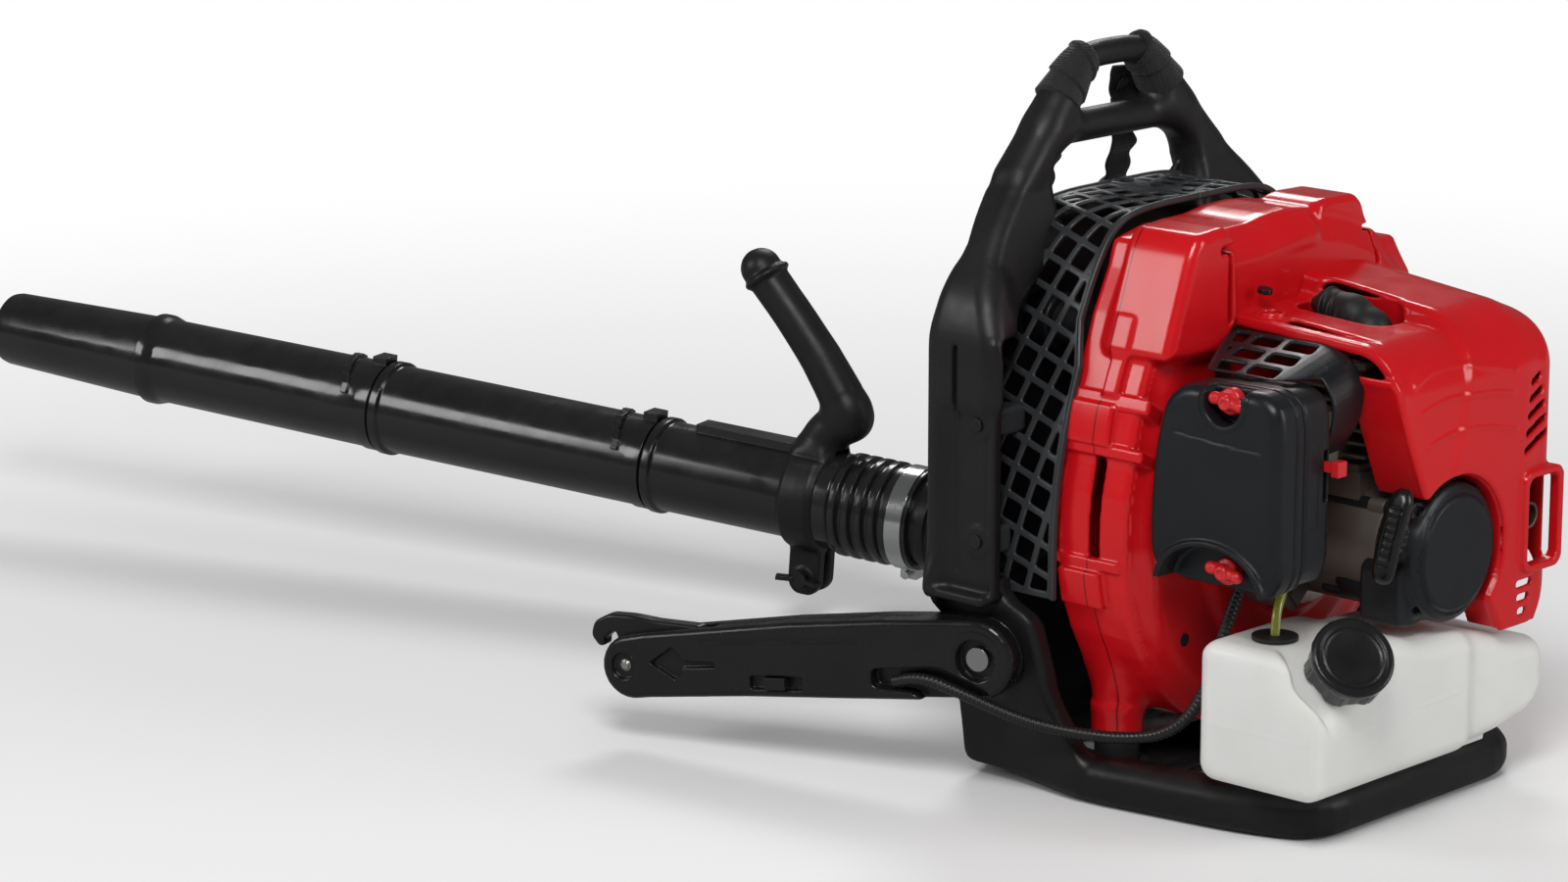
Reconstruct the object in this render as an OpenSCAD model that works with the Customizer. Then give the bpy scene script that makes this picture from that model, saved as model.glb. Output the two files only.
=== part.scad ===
// Backpack leaf blower. Millimetres, +Z up, +Y is the way the wearer faces, +X is
// the wearer's right. The origin is on the ground under the back plate.

/* [Back frame] */
// Width of the back frame
frame_w = 352; // [330:1:370]
// Height of the carrying handle above the ground
frame_h = 480; // [460:1:510]
// Wall of the moulded frame
frame_wall = 4; // [3:0.5:5]
// Depth of the side walls
frame_side_d = 55; // [50:1:60]
// Diameter of the carrying handle and its posts
handle_d = 26; // [24:1:32]
// Width of the base ring's bar
base_bar = 34; // [28:1:38]
// Height of the base ring
base_h = 30; // [24:1:30]
// Half width of the base ring, bar centre
base_half_w = 130; // [122:1:134]
// Distance of the rear bar's centre behind the plate
base_depth = 257; // [250:1:264]

/* [Intake guard] */
// Thickness of the guard's mesh
guard_t = 2.4; // [2:0.1:3]
// Distance from one mesh opening to the next
guard_pitch = 18; // [16:0.5:24]
// Width of the bars between the openings
guard_bar = 4.4; // [3:0.2:6]
// Angle of the mesh
guard_angle = 22; // [0:1:45]

/* [Harness] */
// Thickness of the back pad
pad_t = 20; // [14:1:26]
// Height of the back pad
pad_h = 216; // [180:2:230]
// Width of the shoulder straps
strap_w = 54; // [44:1:62]
// Thickness of the shoulder straps
strap_t = 11; // [8:0.5:14]
// Width of the webbing
webbing_w = 38; // [30:1:42]
// Thickness of the webbing
webbing_t = 1.8; // [1.4:0.1:2.4]

/* [Fan casing] */
// Side position of the crankshaft axis
shaft_x = 12; // [6:1:18]
// Height of the crankshaft axis
shaft_z = 172; // [168:1:176]
// Distance of the casing's front face behind the plate
casing_front = 80; // [78:1:86]
// Distance of the casing's joint behind the plate
casing_seam = 109; // [104:1:116]
// Distance of the casing's rear wall behind the plate
casing_rear = 146; // [144:1:150]
// Wall of the fan casing
casing_wall = 3; // [2.5:0.1:3.5]
// Radius of the air inlet
inlet_r = 76; // [60:1:84]
// Radius of the fan
fan_r = 119; // [100:1:121]
// Number of fan blades
fan_blades = 24; // [12:1:30]
// Depth of the fan blades
blade_d = 44; // [30:1:46]

/* [Engine] */
// Radius of the crankcase
crankcase_r = 44; // [40:1:46]
// Bore of the cylinder
bore_r = 22; // [19:0.5:24]
// Stroke of the piston
stroke = 33; // [28:1:34]
// Radius of the crankshaft journals
journal_r = 8; // [7:0.1:9]
// Running clearance of shafts and pins
run_gap = 0.05; // [0.02:0.01:0.09]
// Clearance of parts that slide or lift off
loose_gap = 0.4; // [0.3:0.05:0.6]
// Height of the cooling fin stack
fin_stack = 60; // [54:1:64]
// Thickness of a cooling fin
fin_t = 2; // [1.5:0.1:2.6]
// Length of the muffler
muffler_l = 80; // [70:1:84]

/* [Engine cover] */
// Wall of the engine cover
cover_wall = 3; // [2.5:0.1:3.5]
// Left side of the engine cover
cover_left = -52; // [-56:1:-48]
// Right side of the engine cover
cover_right = 124; // [120:1:128]
// Height of the cover's top at the front
cover_front_z = 334; // [330:1:340]
// Height of the cover's top at the rear
cover_rear_z = 308; // [302:1:314]
// Distance of the cover's rear face behind the plate
cover_back = 286; // [285:1:290]
// Height of the cover's lower edge
cover_low_z = 110; // [109:1:114]

/* [Starter] */
// Radius of the starter housing
starter_r = 46; // [44:1:50]
// Radius of the raised disc on the starter
starter_disc_r = 39; // [34:1:42]
// Radius of the rope's reel
reel_r = 30; // [24:1:33]
// Diameter of the starter rope
rope_d = 3.5; // [3:0.1:4.5]
// Length of the pull handle
grip_l = 64; // [56:1:72]

/* [Air cleaner] */
// Depth of the air cleaner from front to rear
cleaner_d = 95; // [88:1:99]
// Height of the air cleaner
cleaner_h = 128; // [118:1:132]
// Outer face of the air cleaner's cover, left of the centre
cleaner_out = 150; // [146:1:156]
// Depth of the cover over the filter
cleaner_cover_d = 29; // [26:1:34]
// Radius of the cover's corners
cleaner_corner_r = 14; // [8:1:18]
// Radius of the cover knobs
knob_r = 9; // [7:0.5:11]

/* [Fuel tank] */
// Width of the fuel tank
tank_w = 276; // [260:1:282]
// Depth of the fuel tank
tank_d = 97; // [88:1:100]
// Height of the fuel tank at the filler
tank_h = 93; // [86:1:96]
// Wall of the fuel tank
tank_wall = 2.5; // [2:0.1:3]
// Radius of the fuel cap
cap_r = 27; // [24:1:30]
// Height of the fuel cap
cap_h = 22; // [18:1:26]
// Radius of the filler neck
neck_r = 19; // [16:0.5:20]
// Thread pitch of the fuel cap
cap_pitch = 4; // [3:0.5:5]

/* [Throttle arm] */
// Length of the arm from its pivot to the lever's pin
arm_l = 270; // [250:1:290]
// Thickness of the arm
arm_t = 30; // [26:1:34]
// Radius of the arm's pivot end
arm_pivot_r = 25; // [22:1:28]
// Radius of the arm's pivot bolt
pivot_r = 5; // [4:0.5:6]
// Outer diameter of the cable conduit
conduit_d = 8.4; // [7:0.2:10]
// Distance between the conduit's ribs
conduit_rib = 3.2; // [3:0.2:4]

/* [Blower pipe] */
// Outer diameter of the blower pipe
pipe_d = 68; // [64:1:70]
// Wall of the blower pipe
pipe_wall = 2.4; // [2:0.1:3]
// Outer diameter of the elbow's straight leg
elbow_d = 70; // [66:1:72]
// Outer diameter of the bellows
bellows_d = 77; // [74:1:82]
// Length of the nozzle pipe
nozzle_l = 345; // [280:5:400]
// Length of the middle pipe
mid_l = 243; // [200:1:300]
// Diameter of the nozzle's mouth
mouth_d = 58; // [50:1:64]
// Width of the clamp band
band_w = 13; // [10:0.5:16]
// Radius of the control handle's grip
grip_r = 16; // [14:0.5:18]
// Length of the control handle's grip
grip_reach = 130; // [110:1:140]

/* [Hidden] */

black = "#24262a";
satin = "#1d1f22";
red = "#c8202a";
white = "#eef0ee";
steel = "#b9bcc0";
casting = "#6d675f";

seat_gap = 0.3;
$fn = 48;

// An outline in x and z, cut from y = front backwards
module along_y(front, depth) {
    translate([0, front, 0]) rotate([90, 0, 0]) linear_extrude(depth) children();
}

// An outline in y and z, from x = left to the right
module along_x(left, width) {
    translate([left, 0, 0]) rotate([90, 0, 90]) linear_extrude(width) children();
}

// A round bar between two points
module bar(p, q, r) {
    d = q - p;
    translate(p)
        rotate([0, acos(d[2] / norm(d)), atan2(d[1], d[0])])
            cylinder(r = r, h = norm(d));
}

// A flat bar with round ends between two points in the plane
module flat_bar(p, q, w) {
    turn = atan2(q[1] - p[1], q[0] - p[0]);
    polygon([for (c = [[q, -90], [p, 90]], k = [0:15:180])
        c[0] + w / 2 * [cos(turn + c[1] + k), sin(turn + c[1] + k)]]);
}

function left_of(v) = [-v[1], v[0]] / norm(v);

// Points beside a path, h to its left
function beside(p, h, ring = false) = let (n = len(p)) [for (i = [0:n - 1])
    let (a = p[i] - p[i > 0 ? i - 1 : ring ? n - 1 : 0],
        b = p[i < n - 1 ? i + 1 : ring ? 0 : n - 1] - p[i],
        m = left_of(norm(a) > 0 ? a : b) + left_of(norm(b) > 0 ? b : a))
    p[i] + m * 2 * h / (m * m)];

// Path with its corners rounded, r from each corner
function eased(p, r, ring = false) = let (n = len(p)) [for (i = [0:n - 1])
    if (!ring && (i == 0 || i == n - 1)) p[i]
    else let (a = p[(i + n - 1) % n] - p[i], b = p[(i + 1) % n] - p[i])
        each [for (t = [0:0.25:1]) p[i] + r * ((1 - t) * (1 - t) * a / norm(a) + t * t * b / norm(b))]];

function many_sided(c, r) = [for (a = [0:22.5:337.5]) c + r * [cos(a), sin(a)]];

// A rectangle with rounded corners, lower corner at the origin
module round_rect(w, h, r) {
    translate([r, 0]) square([w - 2 * r, h]);
    translate([0, r]) square([w, h - 2 * r]);
    for (x = [r, w - r], y = [r, h - r]) translate([x, y]) circle(r = r);
}

// ---- back frame
hw = frame_w / 2;
step_z = 131;
right_leg_x = 104;
plate_top = frame_h - 104;
bar_y = -2;
crossbar_r = 12;
crossbar_z = frame_h - 57;

// Centre line of the handle and its posts, from the top down to the side wall
arch = [[0, frame_h - 13], [22, frame_h - 18], [47, frame_h - 35], [hw - 19, frame_h - 160],
    [hw - 16, frame_h - 200]];

// Half outline of the back plate, from the top centre down to the step
function frame_half(s) = [
    [0, plate_top], [s * 60, plate_top], [s * 84, plate_top + 24], [s * 114, plate_top - 4],
    [s * (hw - 20), plate_top - 34], [s * hw, frame_h - 176], [s * hw, step_z + 29],
    [s * (hw + 10), step_z + 11], [s * (hw + 8), step_z]];

function reversed(list) = [for (i = [len(list) - 1:-1:0]) list[i]];

left_leg = [[-160, 126], [-150, 100], [-138, 50], [-126, 0]];
right_leg = [[right_leg_x, 0], [right_leg_x, 116], [hw - 20, 124]];
base_path = [[-108, -3], [-base_half_w, -100], [-114, -212], [-99, -base_depth]];

module frame_outline() {
    polygon(concat(frame_half(-1), left_leg, right_leg, reversed(frame_half(1))));
}

// Side wall in y and z, with a foot that runs into the base ring
module side_wall(top, foot_back) {
    polygon([[-frame_wall, top], [-frame_side_d, top - 30], [-frame_side_d, 136],
        [-76, 124], [-80, 66], [-foot_back, base_h - 1], [-frame_wall, base_h - 1]]);
}

module base_ring() {
    ring = eased(concat(base_path, reversed([for (q = base_path) [-q[0], q[1]]])), 18, true);
    linear_extrude(base_h) difference() {
        polygon(beside(ring, -base_bar / 2, true));
        polygon(beside(ring, base_bar / 2, true));
    }
}

mount_x = 100;
mount_y = -98;
cross_top = 18;
arm_pivot = [-170, -42, 94];
arm_yaw = 15;
arm_pitch = -6;
boss_r = 30;
upper_mount_x = 72;
upper_mount_z = 300;
upper_mount_y = -26;

module arm_axis() {
    translate(arm_pivot) rotate([0, 0, arm_yaw]) children();
}

arm_gap = 0.5;
boss_out = arm_t / 2 + arm_gap;

// Outline of the handle and its posts in x and z
module arch_outline(w) {
    path = eased(concat(reversed([for (q = arch) [-q[0], q[1]]]), [for (i = [1:4]) arch[i]]), 10);
    polygon(concat(beside(path, w / 2), reversed(beside(path, -w / 2))));
}

// Layers that round the handle's section: width and depth as shares of its diameter
handle_layers = [[1, 0.4], [0.8, 0.72], [0.4, 1]];

module handle_arch() {
    for (t = handle_layers) along_y(bar_y + t[1] * handle_d / 2, t[1] * handle_d)
        arch_outline(t[0] * handle_d);
}

// Sloping wall from the post down to the side wall
module shoulder_wall(s) {
    along_y(-1, frame_side_d - 1) polygon([
        [s * hw, frame_h - 177], [s * (hw - 20), plate_top - 34], [s * 120, plate_top - 10],
        [s * 117, plate_top - 14], [s * (hw - 23), plate_top - 38],
        [s * (hw - frame_wall), frame_h - 179]]);
    // web that joins the post to the wall
    along_x(s < 0 ? -hw : hw - frame_wall, frame_wall)
        polygon([[-1, frame_h - 177], [-frame_side_d, frame_h - 177],
            [-frame_side_d, step_z + 5], [-1, step_z + 5]]);
}

module back_frame() {
    color(black) difference() {
        union() {
            along_y(0, frame_wall) frame_outline();
            handle_arch();
            for (s = [-1, 1]) shoulder_wall(s);
            along_x(-62, 124) polygon(many_sided([bar_y, crossbar_z], crossbar_r));
            // rolled upper edge of the plate
            along_x(-56, 112) polygon(many_sided([bar_y - 5, plate_top - 7], 6));
            // lower side walls that run into the base
            along_x(-148, 4) side_wall(step_z + 4, 104);
            along_x(right_leg_x - 6, 6) side_wall(116, 104);
            along_y(-1, 50) polygon([[-150, step_z], [-hw - 8, step_z], [-hw - 8, step_z + 4],
                [-150, step_z + 4]]);
            base_ring();
            translate([-mount_x, mount_y - 24, 6]) cube([2 * mount_x, 48, cross_top - 6]);
            for (s = [-1, 1]) translate([s * mount_x, mount_y, 0]) cylinder(r = 24, h = cross_top);
            arm_axis() rotate([0, 90, 0]) translate([0, 0, boss_out])
                cylinder(r = boss_r, h = 14);
            for (s = [-1, 1]) translate([s * upper_mount_x, upper_mount_y, upper_mount_z])
                rotate([-90, 0, 0]) cylinder(r = 20, h = -upper_mount_y - 1);
        }
        arm_axis() rotate([0, 90, 0]) cylinder(r = pivot_r + run_gap, h = 90);
        // room round the lower rubber mounts
        for (s = [-1, 1]) translate([s * mount_x, mount_y, cross_top]) cylinder(r = 22, h = 100);
    }
}

// ---- harness
strap_x = 62;
strap_top_x = 40;
pad_low = 128;
pad_w = 220;

module back_pad() {
    color("#17181a") translate([0, seat_gap, pad_low]) difference() {
        rotate([90, 0, 0]) translate([-pad_w / 2, 0, -pad_t]) linear_extrude(pad_t)
            round_rect(pad_w, pad_h, 30);
        for (z = [1:3]) translate([-pad_w / 2 - 1, pad_t - 4, z * pad_h / 4 - 3])
            cube([pad_w + 2, 5, 6]);
        translate([-5, pad_t - 4, -1]) cube([10, 5, pad_h + 2]);
    }
}

strap_y = pad_t + 2 * seat_gap;
strap_top = 382;
strap_low = 150;

// Padded strap that leans in towards the handle
module shoulder_strap(s) {
    color("#17181a") translate([0, strap_y + strap_t, 0]) rotate([90, 0, 0])
        linear_extrude(strap_t) flat_bar([s * strap_x, strap_low + strap_w / 2],
            [s * strap_top_x, strap_top - strap_w / 2], strap_w);
}

module shoulder_strap_left() { shoulder_strap(-1); }
module shoulder_strap_right() { shoulder_strap(1); }

wrap_r = handle_d / 2 + 1.5;
tail_w = 26;

// Webbing wound round the handle, its tails and the lower straps
module harness_webbing() {
    color("#17181a") for (s = [-1, 1]) {
        d = arch[2] - arch[1];
        translate([s * arch[1][0], bar_y, arch[1][1]])
            rotate([0, s * (90 + atan2(-d[1], d[0])), 0]) difference() {
                translate([0, 0, 4]) cylinder(r = wrap_r + 2 * webbing_t, h = norm(d) - 14);
                cylinder(r = wrap_r, h = norm(d));
            }
        // tail that hangs down to the shoulder pad
        translate([s * strap_top_x - tail_w / 2, bar_y + wrap_r, strap_top - 1])
            cube([tail_w, webbing_t, frame_h - 37 - strap_top]);
        translate([s * strap_top_x - tail_w / 2, bar_y + wrap_r, strap_top - 6])
            cube([tail_w, strap_y - seat_gap - bar_y - wrap_r, webbing_t + 5]);
        translate([s * strap_x - 12.5, strap_y + 3, 62])
            cube([25, webbing_t, strap_low - 62 - seat_gap]);
    }
}

hook_z = 52;

module harness_hooks() {
    color(steel) for (s = [-1, 1]) translate([s * strap_x, 0, hook_z]) {
        translate([-15, seat_gap, -18]) cube([30, 3, 26]);
        translate([-15, seat_gap, -2]) cube([30, strap_y + 3 - 2 * seat_gap, 3]);
        translate([-15, strap_y, -2]) cube([30, 2.4, 12 - seat_gap]);
    }
}

// ---- intake guard
guard_path = [[-152, step_z + 5.5], [-152, 190], [-145, 236], [-127, 292], [-104, 345],
    [-84, 372], [-58, 379.5], [-0.2, 379.5]];
guard_depth = casing_front - frame_wall - seat_gap;
guard_margin = 5;

// One flat field of the mesh between two corners
module guard_field(p, q) {
    d = q - p;
    n = ceil((norm(d) + guard_depth) / guard_pitch);
    translate([p[0], -frame_wall, p[1]]) rotate([0, -atan2(d[1], d[0]), 0])
        rotate([90, 0, 0]) rotate([-90, 0, 0]) translate([0, -guard_depth, 0])
            linear_extrude(guard_t) difference() {
                square([norm(d), guard_depth]);
                intersection() {
                    translate([guard_margin, guard_margin])
                        square([norm(d) - 2 * guard_margin, guard_depth - 2 * guard_margin]);
                    rotate(guard_angle) for (i = [-n:n], j = [-n:n])
                        translate([i * guard_pitch, j * guard_pitch])
                            square(guard_pitch - guard_bar);
                }
            }
}

module intake_guard_half() {
    color(black) union() {
        for (i = [0:len(guard_path) - 2]) guard_field(guard_path[i], guard_path[i + 1]);
        for (i = [1:len(guard_path) - 2]) translate([guard_path[i][0], -frame_wall, guard_path[i][1]])
            rotate([90, 0, 0]) cylinder(r = guard_t + 0.6, h = guard_depth);
        // tabs that reach out to the frame's side wall
        for (t = guard_tabs) translate([-hw + frame_wall, guard_tab_y - 10, t[0] - 10])
            cube([hw - frame_wall - t[1], 20, 20]);
    }
}

guard_tabs = [[172, 152], [250, 139]];
guard_tab_y = -40;

module intake_guard_left() { intake_guard_half(); }
module intake_guard_right() { mirror([1, 0, 0]) intake_guard_half(); }

// Pan-head screws in the side walls and along the joint at the top
module guard_screws() {
    color(steel) {
        for (s = [-1, 1], t = guard_tabs) translate([s * hw, guard_tab_y, t[0]])
            rotate([0, s * 90, 0]) cylinder(r = 4.5, h = 2.6);
        for (i = [0:2]) translate([5, -14 - i * 26, guard_path[7][1] + guard_t])
            cylinder(r = 4.5, h = 2.6);
    }
}

// ---- rubber mounts
mount_h = 21;
mount_r = 15;

module vibration_mounts() {
    color("#15161a") {
        for (s = [-1, 1]) translate([s * mount_x, mount_y, cross_top]) {
            cylinder(r = 21, h = 2);
            cylinder(r = mount_r, h = mount_h);
        }
        for (s = [-1, 1]) translate([s * upper_mount_x, upper_mount_y, upper_mount_z])
            rotate([90, 0, 0]) cylinder(r = mount_r, h = casing_front + upper_mount_y);
    }
}

// ---- fan casing
// Radius of the scroll's outer wall at each angle
scroll_r = [[-42, 128], [-10, 128], [-9, 202], [5, 203], [20, 202], [36, 201], [50, 204],
    [62, 208], [80, 206], [100, 205], [118, 219], [121, 208], [137, 180], [160, 162],
    [180, 158], [205, 155], [232, 149], [250, 142], [270, 135], [300, 129], [318, 128]];
scroll_step = 6;
pipe_at = [150, 0, 72];
pipe_yaw = 14;
pipe_pitch = 4;
bend_start = -66;
bend_r = 46;
elbow_wall = 4.5;
elbow_r = elbow_d / 2;
pipe_r = pipe_d / 2;
pipe_along = [-sin(pipe_yaw) * cos(pipe_pitch), cos(pipe_yaw) * cos(pipe_pitch), sin(pipe_pitch)];
pipe_up = [sin(pipe_yaw) * sin(pipe_pitch), -cos(pipe_yaw) * sin(pipe_pitch), cos(pipe_pitch)];
outlet_at = pipe_at + bend_start * pipe_along + bend_r * pipe_up
    + bend_r * [sin(pipe_yaw), -cos(pipe_yaw), 0];
outlet_x = outlet_at[0];
outlet_y = outlet_at[1];
outlet_r = elbow_r - 2 - seat_gap;
outlet_low = 118;
column_r = 18;
column_low = cross_top + mount_h;
plug_r = 13;

function scroll_point(a, inset) =
    let (r = lookup(a, scroll_r) - inset) [shaft_x + r * cos(a), shaft_z + r * sin(a)];

module scroll(inset) {
    polygon(concat([for (a = [-8:scroll_step:318]) scroll_point(a, inset)],
        [for (z = [outlet_low - 17, outlet_low]) [outlet_x - elbow_r - 4 - inset, z + inset]]));
    // duct that leads down to the outlet
    translate([outlet_x - outlet_r - 6 + inset, outlet_low])
        square([2 * outlet_r + 12 - 2 * inset, 74]);
}

module column(s, top) {
    translate([s * mount_x, mount_y, column_low]) cylinder(r = column_r, h = top - column_low);
}

module casing_solid() {
    difference() {
        union() {
            along_y(-casing_front, casing_rear - casing_front - 14) scroll(0);
            // stepped bevel and the dome over the flywheel
            along_y(-casing_rear + 15, 8) scroll(5);
            along_y(-casing_rear + 8, 8) scroll(13);
            translate([shaft_x, -casing_rear - 7, shaft_z]) rotate([90, 0, 0])
                cylinder(r = 66, h = 5);
            translate([shaft_x, -casing_rear + 1, shaft_z]) rotate([90, 0, 0])
                cylinder(r = 90, h = 9);
            column(-1, 90);
            column(1, 100);
            // blocks along the top
            along_y(-casing_front, casing_rear - casing_front) polygon([[-94, 358], [-92, 368],
                [-60, 372], [-50, 330], [-70, 330]]);
            along_y(-casing_front - 8, 44) polygon([[-20, 340], [-16, 373], [28, 377], [34, 340]]);
            along_y(-casing_front - 14, 46) polygon([[42, 340], [46, 380], [98, 372], [112, 330]]);
            along_y(-casing_front - 20, 36) polygon([[116, 310], [124, 344], [140, 344], [158, 316],
                [150, 290]]);
            // raised band and clip on the left
            along_y(-casing_front - 4, 50) polygon(concat(
                [for (a = [152:4:168]) scroll_point(a, -4)], [[-100, 200], [-100, 240]]));
            along_y(-casing_front - 6, 42) polygon(concat(
                [for (a = [190:4:202]) scroll_point(a, -5)], [[-100, 130], [-100, 150]]));
            translate([outlet_x, outlet_y, outlet_at[2] + seat_gap])
                cylinder(r = outlet_r, h = outlet_low + 1 - outlet_at[2] - seat_gap);
        }
        along_y(-casing_front - casing_wall, casing_rear - casing_front - 14 - 2 * casing_wall)
            scroll(casing_wall);
        along_y(-casing_rear + 15 + casing_wall + 1, 9) scroll(5 + casing_wall);
        translate([outlet_x, outlet_y, outlet_low - 17]) cylinder(r = outlet_r - casing_wall, h = 30);
        // inlet in the front wall, and the shaft's opening in the rear wall
        translate([shaft_x, -casing_front + 1, shaft_z]) rotate([90, 0, 0])
            cylinder(r = inlet_r, h = casing_wall + 2);
        translate([shaft_x, -casing_rear + 12, shaft_z]) rotate([90, 0, 0])
            cylinder(r = journal_r + 6, h = 30);
    }
}

module volute_front() {
    color(red) intersection() {
        casing_solid();
        translate([-200, -casing_seam, 0]) cube([500, 200, 420]);
    }
}

module volute_rear() {
    color(red) difference() {
        casing_solid();
        translate([-200, -casing_seam, 0]) cube([500, 200, 420]);
    }
}

// Screws of the engine cover and the casing halves
cover_screw_y = -146;
cover_screw_x = [-30, 78];

module casing_screws() {
    color(satin) {
        for (x = cover_screw_x) translate([x, cover_screw_y - 12, cover_top_z(cover_screw_y - 12)])
            rotate([cover_slope, 0, 0]) translate([0, 0, 0.3]) cylinder(r = 5, h = 3);
        for (a = [150, 210, 250]) translate([scroll_point(a, 30)[0],
            -casing_rear - seat_gap - (a < 200 ? 8 : 0), scroll_point(a, 30)[1]])
                rotate([90, 0, 0]) cylinder(r = 4.5, h = 3);
    }
}

// ---- fan and flywheel
fan_front = casing_front + 6;
fan_back = fan_front + blade_d;
hub_r = 22;

module impeller() {
    color("#3a3d42") translate([shaft_x, -fan_front, shaft_z]) rotate([90, 0, 0]) difference() {
        union() {
            translate([0, 0, blade_d]) cylinder(r = fan_r, h = 3);
            cylinder(r = hub_r, h = blade_d + 3);
            for (i = [0:fan_blades - 1]) rotate(i * 360 / fan_blades)
                translate([hub_r + 34, -1, 0]) rotate(24) translate([-2, 0, 0])
                    cube([54, 2, blade_d + 1]);
        }
        translate([0, 0, -1]) cylinder(r = journal_r, h = blade_d + 6);
    }
}

flywheel_r = 54;
flywheel_front = casing_rear + 15;

module flywheel() {
    color(steel) translate([shaft_x, -flywheel_front, shaft_z]) rotate([90, 0, 0]) difference() {
        union() {
            cylinder(r = flywheel_r, h = 8);
            cylinder(r = 16, h = 12);
            for (i = [0:11]) rotate(i * 30) translate([30, -1, -2]) cube([flywheel_r - 32, 2, 3]);
        }
        translate([0, 0, -1]) cylinder(r = journal_r, h = 14);
    }
}

case_front = flywheel_front + 14;
case_split = case_front + 30;
case_back = case_split + 47;
web_r = 30;
chamber_r = 33;
starter_front = case_back + 4;

// Shaft with two webs and the crank pin between them
module crankshaft() {
    color(steel) translate([shaft_x, 0, shaft_z]) rotate([90, 0, 0]) {
        translate([0, 0, fan_front - 2]) cylinder(r = journal_r, h = case_split - 9 - fan_front + 2.5);
        translate([0, 0, case_split + 8.5]) cylinder(r = journal_r, h = case_back + 10 - case_split - 8.5);
        for (z = [case_split - 13, case_split + 5]) translate([0, 0, z]) cylinder(r = web_r, h = 8);
        translate([0, stroke / 2, case_split - 6]) cylinder(r = 6, h = 12);
    }
}

bearing_r = 17;
bearing_w = 9;
bearing_z = [case_front + 3, case_split + 18];

module main_bearings() {
    color(steel) translate([shaft_x, 0, shaft_z]) rotate([90, 0, 0])
        for (z = bearing_z) translate([0, 0, z]) difference() {
            cylinder(r = bearing_r, h = bearing_w);
            translate([0, 0, -1]) cylinder(r = journal_r + run_gap, h = bearing_w + 2);
        }
}

cyl_y = -case_split;
deck_z = shaft_z + 50;
sleeve_wall = 5;

module crankcase_solid() {
    translate([shaft_x, 0, shaft_z]) rotate([90, 0, 0]) difference() {
        union() {
            translate([0, 0, case_front]) cylinder(r = crankcase_r, h = case_back - case_front);
            translate([-34, 20, case_split - 27]) cube([68, deck_z - shaft_z - 20, 54]);
            for (a = [40, 140, 220, 320]) rotate(a) translate([61, 0, casing_rear + 12 + seat_gap])
                cylinder(r = 7, h = case_front + 4 - casing_rear - seat_gap);
            for (a = [40, 140, 220, 320]) rotate(a) translate([36, -6, case_front + 1])
                cube([26, 12, 16]);
            for (a = [45, 135, 225, 315]) rotate(a) translate([crankcase_r - 2, 0, case_back - 12])
                cylinder(r = 6, h = 12);
        }
        // crank chamber, bearing seats and the hole for the cylinder's skirt
        translate([0, 0, case_split - 15]) cylinder(r = chamber_r, h = 30);
        for (z = bearing_z) translate([0, 0, z])
            cylinder(r = bearing_r, h = bearing_w);
        translate([0, 0, case_front - 1]) cylinder(r = journal_r + 2, h = case_back - case_front + 2);
        translate([0, 0, case_split]) rotate([-90, 0, 0]) cylinder(r = bore_r + sleeve_wall, h = deck_z);
    }
}

module crankcase_front() {
    color(casting) intersection() {
        crankcase_solid();
        translate([-100, -case_split, 0]) cube([250, 200, 300]);
    }
}

module crankcase_rear() {
    color(casting) intersection() {
        crankcase_solid();
        translate([-100, -case_split - 120, 0]) cube([250, 120, 300]);
    }
}

head_z = deck_z + 4 + fin_stack;
fin_pitch = 8.5;
port_z = deck_z + 26;
port_r = 11;
spark_r = 7;

module engine_cylinder() {
    color(casting) translate([shaft_x, cyl_y, 0]) difference() {
        union() {
            translate([-33, -25, deck_z]) cube([66, 50, 5]);
            translate([0, 0, deck_z]) cylinder(r = bore_r + sleeve_wall, h = fin_stack);
            for (z = [deck_z + 11:fin_pitch:head_z - 4]) translate([-39, -34, z]) cube([78, 68, fin_t]);
            // intake flange on the left and exhaust flange on the right
            translate([-44, -16, port_z - 16]) cube([22, 32, 32]);
            translate([24, -16, port_z - 16]) cube([20, 32, 32]);
        }
        translate([0, 0, deck_z - 1]) cylinder(r = bore_r, h = fin_stack - 4);
        translate([0, 0, deck_z]) cylinder(r = spark_r, h = fin_stack + 20);
        translate([-50, 0, port_z]) rotate([0, 90, 0]) cylinder(r = port_r, h = 100);
    }
}

piston_h = 30;
piston_low = deck_z + 18;

module piston() {
    color(steel) translate([shaft_x, cyl_y, piston_low]) difference() {
        cylinder(r = bore_r - run_gap, h = piston_h);
        translate([0, 0, -1]) cylinder(r = bore_r - 4, h = piston_h - 4);
        translate([-30, 0, 12]) rotate([0, 90, 0]) cylinder(r = 5, h = 60);
    }
}

module spark_plug() {
    color(white) translate([shaft_x, cyl_y, deck_z + fin_stack - 5]) {
        cylinder(r = spark_r - 0.02, h = 6);
        translate([0, 0, 5]) cylinder(r = 9, h = 5, $fn = 6);
        translate([0, 0, 9]) cylinder(r = 5, h = 18);
    }
}

boot_z = deck_z + fin_stack + 9;
boot_h = 22;
boot_reach = 34;

// Rubber boot over the plug, with the lead's sleeve
module plug_boot() {
    color(satin) translate([shaft_x, cyl_y, boot_z]) difference() {
        union() {
            cylinder(r = plug_r, h = boot_h);
            translate([0, 0, boot_h - 10]) rotate([0, 90, 0]) cylinder(r = 9, h = boot_reach);
            translate([0, 0, boot_h]) sphere(r = 11);
        }
        translate([0, 0, -1]) cylinder(r = 5 + seat_gap, h = 15.5);
    }
}

coil_gap = 0.5;

// Coil block with its laminated legs, and the lead to the plug
lead_r = 3.2;

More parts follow.
